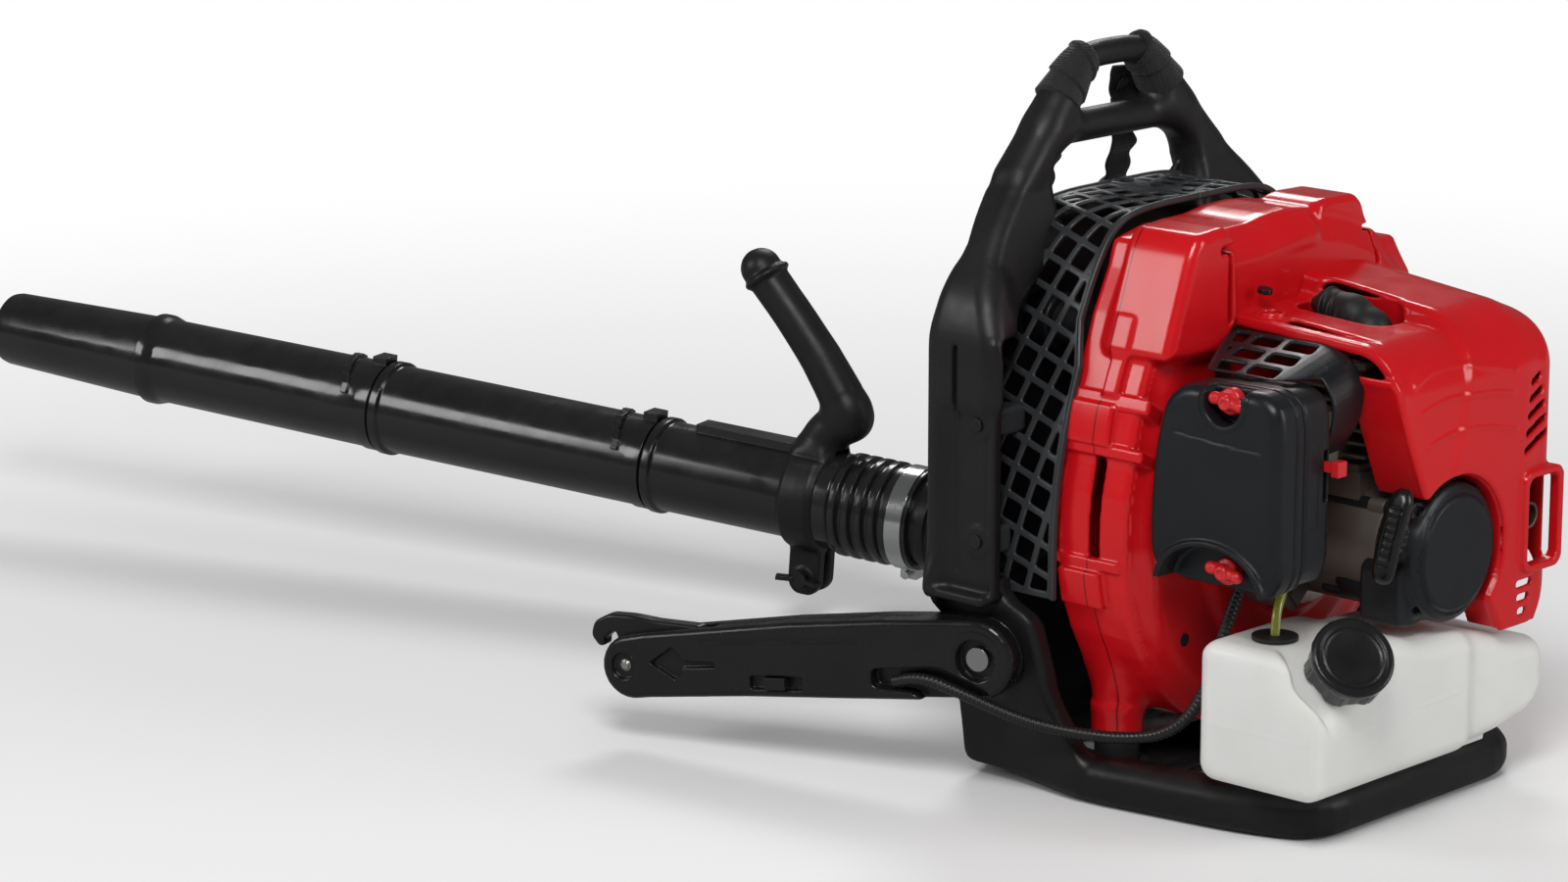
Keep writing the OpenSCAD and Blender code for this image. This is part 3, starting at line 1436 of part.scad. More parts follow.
module flex_pipe() {
    pitch = bellows_l / bellows_ribs;
    color(satin) pipe_place() difference() {
        turned(concat([[flex_at, elbow_r + 2.5], [flex_at + cuff_l, elbow_r + 2.5]],
            [for (i = [0:bellows_ribs - 1]) each [
                [bellows_start + i * pitch + 1.5, bellows_d / 2 - 4],
                [bellows_start + i * pitch + 3.5, bellows_d / 2],
                [bellows_start + i * pitch + pitch - 3, bellows_d / 2],
                [bellows_start + i * pitch + pitch - 1, bellows_d / 2 - 4]]],
            [[bellows_start + bellows_l + 1, pipe_r + 2.5], [flex_at + flex_l + 8, pipe_r + 2.5]]),
            elbow_r - elbow_wall);
        translate([0, 0, flex_at - 1]) cylinder(r = elbow_r - 2 + seat_gap, h = 18);
        translate([0, 0, swivel_start - seat_gap]) cylinder(r = pipe_r + seat_gap, h = 80);
    }
}

module band_clamps() {
    color(steel) pipe_place() {
        translate([0, 0, flex_at + 3]) difference() {
            cylinder(r = elbow_r + 3.6, h = band_w);
            translate([0, 0, -1]) cylinder(r = elbow_r + 2.5, h = band_w + 2);
        }
        translate([-6, elbow_r + 3.2, flex_at + 3]) cube([12, 7, band_w]);
        translate([-12, elbow_r + 6.5, flex_at + 3 + band_w / 2]) rotate([0, 90, 0])
            cylinder(r = 3, h = 24);
    }
}

rail_h = 5;
rail_start = 352;
rail_l = 86;

module swivel_pipe() {
    color(satin) pipe_place() difference() {
        union() {
            turned([[swivel_start, pipe_r], [joint_a - lap, pipe_r], [joint_a - lap + 2, pipe_r + 2.5],
                [joint_a - lap + 8, pipe_r + 2.5], [joint_a - lap + 10, pipe_r - 3], [joint_a, pipe_r - 3]],
                pipe_r - 5.5);
            translate([-9, -pipe_r - rail_h, rail_start]) cube([18, rail_h + 3, rail_l]);
        }
        translate([0, 0, swivel_start - 1]) cylinder(r = pipe_r - 5.5, h = swivel_l + 2);
    }
}

// Socket with its bayonet lug and curved rib
module bayonet_socket(start) {
    translate([-8, -pipe_r - 6, start]) cube([16, 6.5, 12]);
    for (a = [0:12:96]) rotate([0, 0, -150 + a]) translate([pipe_r - 1, -4, start + lap - 8 + a / 6])
        cube([3.2, 8, 5]);
}

module pipe_section(start, length, end_r, next) {
    difference() {
        union() {
            turned(concat([[start - lap + 11, pipe_r + 1.2], [start - lap + 22, pipe_r + 1.2],
                [start - lap + 24, pipe_r]], next), pipe_r - 5.5);
            bayonet_socket(start - lap + 11);
        }
        translate([0, 0, start - lap]) cylinder(r = pipe_r - 3 + loose_gap, h = lap + 0.5);
    }
}

module mid_pipe() {
    color(satin) pipe_place() pipe_section(joint_a, mid_l, pipe_r, [
        [joint_b - lap, pipe_r], [joint_b - lap + 2, pipe_r + 2.5], [joint_b - lap + 8, pipe_r + 2.5],
        [joint_b - lap + 10, pipe_r - 3], [joint_b, pipe_r - 3]]);
}

lip_at = 196;

module nozzle_pipe() {
    tip = joint_b + nozzle_l;
    color(satin) pipe_place() difference() {
        union() {
            turned([[joint_b - lap + 11, pipe_r + 1.2], [joint_b - lap + 22, pipe_r + 1.2],
                [joint_b - lap + 24, pipe_r], [joint_b + lip_at - 10, pipe_r - 1],
                [joint_b + lip_at, pipe_r + 2], [joint_b + lip_at + 6, pipe_r + 2],
                [joint_b + lip_at + 8, pipe_r - 1], [tip - 4, mouth_d / 2], [tip, mouth_d / 2 - 1]],
                mouth_d / 2 - 6);
            bayonet_socket(joint_b - lap + 11);
        }
        translate([0, 0, joint_b - lap]) cylinder(r = pipe_r - 3 + loose_gap, h = lap + 0.5);
        translate([0, 0, joint_b + 0.4]) cylinder(r = pipe_r - 5.5, h = lip_at);
        translate([0, 0, joint_b + lip_at]) cylinder(r1 = pipe_r - 5.5, r2 = mouth_d / 2 - 2.6,
            h = nozzle_l - lip_at + 0.1);
    }
}

handle_s = 338;
handle_w = 26;
neck_up = 34;
bolt_low = 26;

grip_lean = 50;
grip_low = [0, -pipe_r - neck_up, handle_s - 24];
grip_high = grip_low + grip_reach * [0, -sin(grip_lean), cos(grip_lean)];

// Split ring with two ears, a neck and the sloping grip
module control_handle() {
    color(satin) pipe_place() difference() {
        union() {
            translate([0, 0, handle_s - handle_w / 2]) cylinder(r = pipe_r + 6, h = handle_w);
            for (x = [-13, 3]) translate([x, pipe_r + 2, handle_s - handle_w / 2])
                cube([10, 36, handle_w]);
            translate([-15, -pipe_r - 12, handle_s - handle_w / 2]) cube([30, 16, handle_w]);
            bar([0, -pipe_r - 6, handle_s - 4], grip_low, 13);
            translate(grip_low) sphere(r = grip_r);
            bar(grip_low, grip_high, grip_r);
            translate(grip_high) rotate([grip_lean, 0, 0]) translate([0, 0, -9])
                cylinder(r = grip_r + 2, h = 5);
            bar(grip_high + [0, 4, -4], grip_high + [0, 7, 10], grip_r - 3);
        }
        translate([0, 0, handle_s - handle_w]) cylinder(r = pipe_r + loose_gap, h = 2 * handle_w);
        translate([-10, -pipe_r - rail_h - loose_gap, handle_s - handle_w]) cube([20, 10, 2 * handle_w]);
        translate([-3, 0, handle_s - handle_w]) cube([6, pipe_r + 40, 2 * handle_w]);
        translate([-30, pipe_r + bolt_low, handle_s]) rotate([0, 90, 0]) cylinder(r = 3 + run_gap, h = 60);
    }
}

module handle_bolt() {
    color(steel) pipe_place() translate([0, pipe_r + bolt_low, handle_s]) rotate([0, 90, 0]) {
        translate([0, 0, -13 - 6]) cylinder(r = 3, h = 13 + 6 + 13 + 7);
        translate([0, 0, 13 + seat_gap]) cylinder(r = 5.5, h = 5, $fn = 6);
        translate([0, 0, -13 - seat_gap - 7]) cylinder(r = 6, h = 7);
        for (a = [0, 180]) rotate(a) translate([4, -1.5, -13 - seat_gap - 8]) rotate([0, 20, 0])
            cube([13, 3, 8]);
    }
}

back_frame();
back_pad();
shoulder_strap_left();
shoulder_strap_right();
harness_webbing();
harness_hooks();
intake_guard_left();
intake_guard_right();
guard_screws();
vibration_mounts();
volute_front();
volute_rear();
casing_screws();
impeller();
flywheel();
crankshaft();
main_bearings();
crankcase_front();
crankcase_rear();
engine_cylinder();
piston();
spark_plug();
plug_boot();
ignition_coil();
intake_insulator();
carburettor();
intake_shroud();
air_cleaner_case();
air_filter();
air_cleaner_cover();
cover_knob_top();
cover_knob_bottom();
choke_lever();
muffler();
engine_cover();
starter_housing();
starter_reel();
recoil_spring();
starter_dog();
starter_rope();
starter_grip();
fuel_tank();
tank_grommet();
fuel_line();
fuel_cap();
cap_gasket();
throttle_conduit();
arm_shell_outer();
arm_shell_inner();
arm_pivot_bolt();
throttle_lever();
stop_switch();
elbow();
flex_pipe();
band_clamps();
swivel_pipe();
control_handle();
handle_bolt();
mid_pipe();
nozzle_pipe();
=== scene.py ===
"""Backpack leaf blower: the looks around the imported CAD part. Metres, the frame of the CAD."""

import bpy
import math
import numpy as np
from mathutils import Matrix, Vector


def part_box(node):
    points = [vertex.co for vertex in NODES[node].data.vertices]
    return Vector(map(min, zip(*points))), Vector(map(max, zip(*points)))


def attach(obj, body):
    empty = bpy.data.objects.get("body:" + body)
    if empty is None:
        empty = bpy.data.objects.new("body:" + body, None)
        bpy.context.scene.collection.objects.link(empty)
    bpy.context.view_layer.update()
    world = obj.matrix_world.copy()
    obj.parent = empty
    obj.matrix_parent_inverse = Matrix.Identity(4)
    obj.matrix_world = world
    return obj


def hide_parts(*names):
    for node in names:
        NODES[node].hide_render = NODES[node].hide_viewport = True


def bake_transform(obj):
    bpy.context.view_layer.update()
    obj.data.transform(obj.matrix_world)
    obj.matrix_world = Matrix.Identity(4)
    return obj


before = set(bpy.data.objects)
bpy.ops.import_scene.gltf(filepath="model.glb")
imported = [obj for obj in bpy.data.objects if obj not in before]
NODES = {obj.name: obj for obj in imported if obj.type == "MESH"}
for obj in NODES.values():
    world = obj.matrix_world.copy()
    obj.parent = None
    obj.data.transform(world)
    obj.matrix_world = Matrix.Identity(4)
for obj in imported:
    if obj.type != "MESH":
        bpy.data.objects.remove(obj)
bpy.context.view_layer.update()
SCENE = bpy.context.scene
MM = 0.001


# ---------------------------------------------------------------- camera, light, stage
def make_camera():
    data = bpy.data.cameras.new("camera")
    data.sensor_width = 36
    data.lens = 112.5
    data.clip_end = 30
    cam = bpy.data.objects.new("camera", data)
    SCENE.collection.objects.link(cam)
    forward = Vector((0.7118, 0.6637, -0.2301)).normalized()
    right = forward.cross(Vector((0, 0, 1))).normalized()
    up = right.cross(forward)
    basis = Matrix((right, up, -forward)).transposed().to_4x4()
    basis.translation = Vector((-2.519, -2.053, 0.969))
    cam.matrix_world = basis
    SCENE.camera = cam


make_camera()
SCENE.view_settings.view_transform = "Standard"


def area_light(name, place, target, size, power, tint=(1, 1, 1)):
    data = bpy.data.lights.new(name, "AREA")
    data.shape = "RECTANGLE"
    data.size, data.size_y = size
    data.energy = power
    data.color = tint
    lamp = bpy.data.objects.new(name, data)
    SCENE.collection.objects.link(lamp)
    lamp.location = place
    lamp.rotation_euler = (Vector(target) - Vector(place)).to_track_quat("-Z", "Y").to_euler()


CENTRE = (-0.1, -0.1, 0.22)
area_light("key", (-1.6, -1.1, 2.1), CENTRE, (0.9, 0.9), 36)
area_light("fill", (0.9, -2.3, 1.1), CENTRE, (0.7, 1.2), 15)
area_light("side", (-1.9, 1.4, 1.2), CENTRE, (0.8, 0.8), 12)
area_light("rim", (1.6, 1.3, 1.9), CENTRE, (1.0, 0.7), 20)


WHITE = (1, 1, 1, 1)


def add_node(tree, kind, **values):
    """New node: a value goes to the input of its name, linked if a socket, or else to the setting."""
    node = tree.nodes.new(kind)
    for key, value in values.items():
        if key not in node.inputs:
            setattr(node, key, value)
        elif isinstance(value, bpy.types.NodeSocket):
            tree.links.new(value, node.inputs[key])
        else:
            node.inputs[key].default_value = value
    return node


def mix_shaders(tree, factor, a, b):
    node = tree.nodes.new("ShaderNodeMixShader")
    for socket, source in zip(node.inputs, (factor, a, b)):
        tree.links.new(source, socket)
    return node.outputs[0]


def make_world():
    world = bpy.data.worlds.new("studio")
    SCENE.world = world
    world.use_nodes = True
    tree = world.node_tree
    tree.nodes.clear()
    # white to the camera, dim as light, and a dark studio in the reflections: the soft boxes stand out
    light, white, dark = (
        add_node(tree, "ShaderNodeBackground", Color=WHITE, Strength=strength).outputs[0]
        for strength in (0.24, 1.0, 0.10))
    path = tree.nodes.new("ShaderNodeLightPath")
    seen = mix_shaders(tree, path.outputs["Is Camera Ray"], light, white)
    seen = mix_shaders(tree, path.outputs["Is Glossy Ray"], seen, dark)
    tree.links.new(seen, tree.nodes.new("ShaderNodeOutputWorld").inputs[0])


make_world()


def make_floor():
    size = 9.0
    mesh = bpy.data.meshes.new("floor")
    mesh.from_pydata([(-size, -size, 0), (size, -size, 0), (size, size, 0), (-size, size, 0)], [],
                     [(0, 1, 2, 3)])
    floor = bpy.data.objects.new("floor", mesh)
    SCENE.collection.objects.link(floor)
    floor.location.z = -0.0006
    mat = bpy.data.materials.new("floor")
    mat.use_nodes = True
    tree = mat.node_tree
    bsdf = tree.nodes["Principled BSDF"]
    bsdf.inputs["Base Color"].default_value = (0.93, 0.93, 0.93, 1)
    bsdf.inputs["Roughness"].default_value = 0.75
    bsdf.inputs["Specular IOR Level"].default_value = 0.2
    # the floor fades to the backdrop's white away from the machine
    coords = tree.nodes.new("ShaderNodeTexCoord")
    away = add_node(tree, "ShaderNodeVectorMath", operation="LENGTH")
    tree.links.new(coords.outputs["Object"], away.inputs[0])
    fade = add_node(tree, "ShaderNodeMapRange", interpolation_type="SMOOTHSTEP",
                    **{"From Min": 0.55, "From Max": 2.2, "Value": away.outputs["Value"]})
    glow = add_node(tree, "ShaderNodeEmission", Color=WHITE, Strength=1.0)
    seen = mix_shaders(tree, fade.outputs["Result"], bsdf.outputs[0], glow.outputs[0])
    # and is dimmed where something glossy reflects it
    path = tree.nodes.new("ShaderNodeLightPath")
    share = add_node(tree, "ShaderNodeMath", operation="MULTIPLY")
    share.inputs[1].default_value = 0.72
    tree.links.new(path.outputs["Is Glossy Ray"], share.inputs[0])
    dim = add_node(tree, "ShaderNodeEmission", Color=WHITE, Strength=0.06)
    seen = mix_shaders(tree, share.outputs[0], seen, dim.outputs[0])
    tree.links.new(seen, tree.nodes["Material Output"].inputs["Surface"])
    mesh.materials.append(mat)


make_floor()


# ---------------------------------------------------------------- materials
M = {}


class Surface:
    """A procedural material: one Principled shader and the nodes that feed it; M holds it under key."""

    def __init__(self, name, key=None, **values):
        self.mat = M[key or name] = bpy.data.materials.new(name)
        self.mat.use_nodes = True
        self.tree = self.mat.node_tree
        self.bsdf = self.tree.nodes["Principled BSDF"]
        self.coords = self.tree.nodes.new("ShaderNodeTexCoord").outputs["Object"]
        for socket, value in values.items():
            self.bsdf.inputs[socket.replace("_", " ")].default_value = value

    def link(self, a, b):
        self.tree.links.new(a, b)

    def feed(self, socket, value):
        """Links value to an input of the Principled shader."""
        self.link(value, self.bsdf.inputs[socket])

    def add(self, kind, **values):
        return add_node(self.tree, kind, **values)

    def plug(self, socket, value):
        if isinstance(value, bpy.types.NodeSocket):
            self.link(value, socket)
        else:
            socket.default_value = value

    def noise(self, scale, detail=3.0, vector=None):
        return self.add("ShaderNodeTexNoise", Scale=scale, Detail=detail, Roughness=0.55,
                        Vector=vector or self.coords).outputs["Fac"]

    def stretched(self, scale):
        return self.add("ShaderNodeMapping", Scale=scale, Vector=self.coords).outputs["Vector"]

    def span(self, value, low, high, to_low=0.0, to_high=1.0):
        return self.add("ShaderNodeMapRange", **{"From Min": low, "From Max": high, "To Min": to_low,
                                                 "To Max": to_high, "Value": value}).outputs["Result"]

    def math(self, kind, a, b=None):
        node = self.add("ShaderNodeMath", operation=kind)
        self.plug(node.inputs[0], a)
        if b is not None:
            self.plug(node.inputs[1], b)
        return node.outputs[0]

    def mix(self, factor, a, b):
        node = self.add("ShaderNodeMix", data_type="RGBA")
        # by number: the node has several inputs and outputs of each name
        for index, value in ((0, factor), (6, a), (7, b)):
            self.plug(node.inputs[index], value)
        return node.outputs[2]

    def rounded(self, radius):
        return self.add("ShaderNodeBevel", samples=4, Radius=radius).outputs["Normal"]

    def edges(self, rounded):
        """1 along edges, 0 on flat faces."""
        geo = self.add("ShaderNodeNewGeometry")
        dot = self.add("ShaderNodeVectorMath", operation="DOT_PRODUCT")
        self.link(rounded, dot.inputs[0])
        self.link(geo.outputs["Normal"], dot.inputs[1])
        return self.span(dot.outputs["Value"], 0.995, 0.86)

    def bump(self, height, strength, distance, normal=None):
        node = self.add("ShaderNodeBump", Strength=strength, Distance=distance, Height=height)
        if normal:
            self.link(normal, node.inputs["Normal"])
        return node.outputs["Normal"]


def shade(color, factor):
    return tuple(min(1.0, c * factor) for c in color[:3]) + (1,)


def moulding(name, color, rough, grain, round_r=0.8, wear=0.35, mottle=0.12, metal=0.0, coat=0.0,
             coat_rough=0.05, specular=0.5, rough_span=0.08, wear_color=None, dust=0.0, seam=None):
    """Moulded or cast surface: grain (scale, strength, depth in metres), slow colour change, worn edges
    rounded by round_r mm, a little dust on top."""
    s = Surface(name, Metallic=metal, Coat_Weight=coat, Coat_Roughness=coat_rough,
                Specular_IOR_Level=specular)
    slow = s.noise(14, 4)
    mottled = s.mix(s.span(slow, 0.3, 0.7), shade(color, 1 - mottle), shade(color, 1 + mottle))
    normal = s.rounded(round_r * MM)
    patchy = s.span(s.noise(160, 3), 0.42, 0.62)
    worn = s.math("MULTIPLY", s.math("MULTIPLY", s.edges(normal), patchy), wear)
    lighter = wear_color or shade([c + 0.05 for c in color[:3]], 1.6)
    tone = s.mix(worn, mottled, lighter)
    if dust:
        geo = s.add("ShaderNodeNewGeometry")
        up = s.add("ShaderNodeSeparateXYZ", Vector=geo.outputs["Normal"])
        lying = s.span(up.outputs["Z"], 0.3, 1.0, 0.0, dust)
        patches = s.span(s.noise(60, 5), 0.35, 0.75)
        tone = s.mix(s.math("MULTIPLY", lying, patches), tone, (0.34, 0.31, 0.27, 1))
    if seam is not None:
        # dark parting groove at y = seam
        place = s.add("ShaderNodeSeparateXYZ", Vector=s.coords)
        off = s.math("ABSOLUTE", s.math("SUBTRACT", place.outputs["Y"], seam))
        groove = s.span(off, 0.00035, 0.0008, 1.0, 0.0)
        tone = s.mix(s.math("MULTIPLY", groove, 0.75), tone, shade(color, 0.12))
    s.feed("Base Color", tone)
    rough_map = s.span(s.noise(45, 4), 0.3, 0.7, rough - rough_span, rough + rough_span)
    s.feed("Roughness", s.math("ADD", rough_map, s.math("MULTIPLY", worn, 0.15)))
    s.feed("Normal", s.bump(s.noise(grain[0], 2), grain[1], grain[2], normal))
    if coat:
        s.feed("Coat Normal", normal)


RED = (0.57, 0.006, 0.010, 1)
BLACK = (0.009, 0.009, 0.010, 1)
CASING_SEAM = -0.109
GLOSS = dict(rough=0.20, grain=(240, 0.05, 0.0001), mottle=0.05, coat=0.12, coat_rough=0.04, specular=0.36,
             wear=0.25, wear_color=(0.75, 0.12, 0.10, 1), round_r=1.2, rough_span=0.04)
moulding("red_gloss", RED, **GLOSS)
moulding("casing_red", RED, seam=CASING_SEAM, **GLOSS)
moulding("black_moulding", BLACK, 0.42, (1100, 0.22, 0.0001), mottle=0.2, wear=0.3,
         wear_color=(0.06, 0.06, 0.06, 1), round_r=1.2, dust=0.03, specular=0.36)
moulding("satin_black", (0.008, 0.008, 0.009, 1), 0.27, (1400, 0.12, 0.00008), specular=0.4, mottle=0.18,
         coat=0.12, coat_rough=0.25, wear=0.3, wear_color=(0.08, 0.08, 0.08, 1), round_r=1.0)
moulding("guard_black", (0.030, 0.032, 0.035, 1), 0.34, (900, 0.08, 0.00005), wear=0.4,
         wear_color=(0.12, 0.12, 0.12, 1), round_r=0.7, dust=0.03)
moulding("cleaner_black", (0.009, 0.010, 0.012, 1), 0.36, (1500, 0.35, 0.0001), specular=0.36,
         mottle=0.15, wear=0.25, wear_color=(0.09, 0.09, 0.10, 1), round_r=1.4)
moulding("pipe_black", (0.011, 0.011, 0.012, 1), 0.20, (700, 0.10, 0.00010), mottle=0.2, coat=0.3,
         coat_rough=0.12, wear=0.25, wear_color=(0.07, 0.07, 0.07, 1), round_r=1.0, dust=0.03)
moulding("rubber", (0.014, 0.014, 0.014, 1), 0.55, (800, 0.3, 0.00015), mottle=0.2, wear=0.2, specular=0.4)
moulding("red_trim", (0.55, 0.012, 0.016, 1), 0.33, (900, 0.1, 0.0001), mottle=0.08, wear=0.3,
         wear_color=(0.78, 0.2, 0.18, 1), round_r=0.7)
moulding("steel", (0.50, 0.50, 0.50, 1), 0.30, (600, 0.15, 0.00008), mottle=0.08, metal=1.0, wear=0.2,
         round_r=0.5)
moulding("dark_steel", (0.05, 0.05, 0.055, 1), 0.35, (700, 0.2, 0.0001), mottle=0.2, metal=0.9, wear=0.5,
         wear_color=(0.25, 0.25, 0.25, 1), round_r=0.5)
moulding("bright_alloy", (0.62, 0.61, 0.58, 1), 0.32, (500, 0.25, 0.00012), mottle=0.1, metal=1.0,
         wear=0.2, round_r=0.6)
moulding("cast_alloy", (0.20, 0.175, 0.15, 1), 0.48, (650, 0.5, 0.0002), mottle=0.15, metal=0.75,
         wear=0.4, wear_color=(0.42, 0.40, 0.37, 1))
moulding("muffler_steel", (0.24, 0.19, 0.15, 1), 0.42, (420, 0.4, 0.0002), mottle=0.35, metal=0.9, wear=0.3)
moulding("insulator", (0.30, 0.265, 0.215, 1), 0.55, (800, 0.3, 0.0001), mottle=0.1, wear=0.2, round_r=0.6)
moulding("ceramic", (0.82, 0.80, 0.76, 1), 0.2, (300, 0.05, 0.0001), mottle=0.03, wear=0.0, coat=0.5)
moulding("filter_felt", (0.30, 0.29, 0.26, 1), 0.9, (900, 0.8, 0.0005), mottle=0.2, wear=0.0)


def brushed_chrome():
    s = Surface("chrome_band", "chrome", Metallic=1.0)
    fine = s.noise(1.0, 3, vector=s.stretched((300, 4000, 4000)))
    s.feed("Base Color", s.mix(s.span(fine, 0.3, 0.7), (0.66, 0.67, 0.68, 1), (0.86, 0.87, 0.88, 1)))
    s.feed("Roughness", s.span(fine, 0.3, 0.7, 0.10, 0.22))
    s.feed("Normal", s.bump(fine, 0.06, 0.00005, s.rounded(0.4 * MM)))


def tank_plastic():
    """Milky translucent polyethylene."""
    s = Surface("tank_plastic", "white_tank", Subsurface_Weight=0.35,
                Subsurface_Radius=(0.012, 0.011, 0.009), Subsurface_Scale=0.6)
    slow = s.noise(9, 3)
    s.feed("Base Color", s.mix(s.span(slow, 0.3, 0.7), (0.70, 0.70, 0.665, 1), (0.80, 0.80, 0.77, 1)))
    s.feed("Roughness", s.span(s.noise(60, 3), 0.3, 0.7, 0.33, 0.47))
    s.feed("Normal", s.bump(s.noise(700, 2), 0.2, 0.0001, s.rounded(1.5 * MM)))


def woven(name, color, pitch, rough=0.85, strength=0.6, sheen=0.25):
    """Woven cloth or webbing: warp and weft as waves pitch metres apart, with fibre noise."""
    s = Surface(name, Sheen_Weight=sheen, Sheen_Roughness=0.5, Specular_IOR_Level=0.25)
    n = s.span(s.noise(30, 4), 0.3, 0.7)
    s.feed("Base Color", s.mix(n, shade(color, 0.75), shade(color, 1.35)))
    s.feed("Roughness", s.span(s.noise(200, 3), 0.3, 0.7, rough - 0.08, min(1.0, rough + 0.08)))
    waves = [s.add("ShaderNodeTexWave", wave_type="BANDS", bands_direction=axis, Scale=0.314 / pitch,
                   Distortion=0.6, Detail=1, Vector=s.coords).outputs["Fac"] for axis in ("X", "Y", "Z")]
    height = s.math("MULTIPLY", s.math("ADD", waves[0], waves[1]), waves[2])
    height = s.math("ADD", height, s.math("MULTIPLY", s.noise(1800, 3), 0.6))
    s.feed("Normal", s.bump(height, strength, 0.00035))


def hose_plastic(name, color, rough=0.25):
    s = Surface(name, Transmission_Weight=0.25, Coat_Weight=0.3)
    s.feed("Base Color", s.mix(s.span(s.noise(25, 3), 0.3, 0.7), shade(color, 0.8), shade(color, 1.15)))
    s.feed("Roughness", s.span(s.noise(90, 3), 0.3, 0.7, rough - 0.07, rough + 0.1))
    s.feed("Normal", s.bump(s.noise(500, 2), 0.1, 0.0001))


brushed_chrome()
tank_plastic()
moulding("conduit", (0.012, 0.012, 0.013, 1), 0.36, (900, 0.15, 0.0001), mottle=0.2, wear=0.0, round_r=0.2)
woven("pad_fabric", (0.020, 0.020, 0.022, 1), 0.0013)
woven("webbing", (0.012, 0.012, 0.013, 1), 0.0016, 0.7, 0.8, 0.15)
hose_plastic("fuel_hose", (0.42, 0.46, 0.05, 1))
woven("rope_white", (0.62, 0.60, 0.56, 1), 0.0009, 0.8, 0.7, 0.2)

# the CAD nodes of each material
LOOKS = {
    "black_moulding": "back_frame starter_grip arm_shell_outer arm_shell_inner control_handle",
    "pad_fabric": "back_pad shoulder_strap_left shoulder_strap_right",
    "webbing": "harness_webbing",
    "dark_steel": "harness_hooks guard_screws casing_screws handle_bolt",
    "satin_black":
        "intake_guard_left intake_guard_right ignition_coil intake_shroud air_cleaner_case "
        "starter_housing throttle_conduit elbow impeller fuel_cap throttle_lever stop_switch",
    "rubber": "vibration_mounts plug_boot tank_grommet cap_gasket",
    "red_gloss": "volute_front volute_rear engine_cover",
    "steel": "main_bearings recoil_spring crankshaft starter_dog arm_pivot_bolt",
    "cast_alloy": "crankcase_front crankcase_rear engine_cylinder",
    "ceramic": "spark_plug starter_reel",
    "insulator": "intake_insulator",
    "bright_alloy": "carburettor flywheel piston",
    "filter_felt": "air_filter",
    "muffler_steel": "muffler",
    "white_tank": "fuel_tank",
    "fuel_hose": "fuel_line",
    "chrome": "band_clamps",
    "rope_white": "starter_rope",
    "cleaner_black": "air_cleaner_cover",
    "red_trim": "cover_knob_top cover_knob_bottom choke_lever",
    "pipe_black": "flex_pipe swivel_pipe mid_pipe nozzle_pipe",
}
NODE_LOOK = {node: look for look, nodes in LOOKS.items() for node in nodes.split()}


def dress(node):
    """CAD node: its material, and slightly rounded edges from modifiers."""
    o = NODES[node]
    o.data.materials.clear()
    o.data.materials.append(M[NODE_LOOK[node]])
    for p in o.data.polygons:
        p.use_smooth = True
    weld = o.modifiers.new("weld", "WELD")
    weld.merge_threshold = 2e-6
    bevel = o.modifiers.new("bevel", "BEVEL")
    bevel.limit_method = "ANGLE"
    bevel.angle_limit = math.radians(32)
    bevel.width = 0.5 * MM
    bevel.segments = 2
    bevel.harden_normals = True
    normals = o.modifiers.new("normals", "WEIGHTED_NORMAL")
    normals.keep_sharp = False
    normals.weight = 100


# ---------------------------------------------------------------- sculpting with distance fields
# Shapes are written in millimetres as signed distances on a grid, and skinned into a mesh.
def hyp(a, b):
    return np.sqrt(a * a + b * b)


def both(a, b, r=0.0):
    """Intersection, its convex edge rounded by r."""
    if not r:
        return np.maximum(a, b)
    return np.minimum(np.maximum(a, b), -r) + hyp(np.maximum(a + r, 0), np.maximum(b + r, 0))


def either(a, b, r=0.0):
    """Union, its concave edge filled by r."""
    if not r:
        return np.minimum(a, b)
    return np.maximum(np.minimum(a, b), r) - hyp(np.maximum(r - a, 0), np.maximum(r - b, 0))


def less(a, b, r=0.0):
    return both(a, -b, r)


def slab(w, lo, hi):
    return np.abs(w - (lo + hi) / 2) - (hi - lo) / 2


def rect(u, u0, u1, v, v0, v1, r=0.0):
    """Rectangle in the plane of u and v, its corners rounded by r."""
    return both(slab(u, u0, u1), slab(v, v0, v1), r)


def outline(u, v, points, r=0.0):
    """Signed distance to a polygon in the plane of u and v, its corners rounded up to r from each."""
    pts = np.array(eased(points, r) if r else points, np.float32)
    shape = np.broadcast(u, v).shape
    d = np.full(shape, 1e9, np.float32)
    inside = np.zeros(shape, bool)
    for a, b in zip(pts, np.roll(pts, -1, 0)):
        e = b - a
        wu, wv = u - a[0], v - a[1]
        t = np.clip((wu * e[0] + wv * e[1]) / (e @ e), 0, 1)
        d = np.minimum(d, (wu - e[0] * t) ** 2 + (wv - e[1] * t) ** 2)
        above, below, left = v >= a[1], v < b[1], e[0] * wv > e[1] * wu
        inside ^= (above & below & left) | (~above & ~below & ~left)
    return np.where(inside, -1, 1).astype(np.float32) * np.sqrt(d)


def eased(points, r, closed=True):
    """Polygon or path with its corners rounded, up to r from each corner."""
    pts = [np.array(p, float) for p in points]
    out = []
    n = len(pts)
    for i, p in enumerate(pts):
        if not closed and i in (0, n - 1):
            out.append(p)
            continue
        a, b = pts[i - 1] - p, pts[(i + 1) % n] - p
        la, lb = np.linalg.norm(a), np.linalg.norm(b)
        cut = min(r, 0.45 * la, 0.45 * lb)
        for t in (0, 0.25, 0.5, 0.75, 1):
            out.append(p + cut * ((1 - t) ** 2 * a / la + t * t * b / lb))
    return out


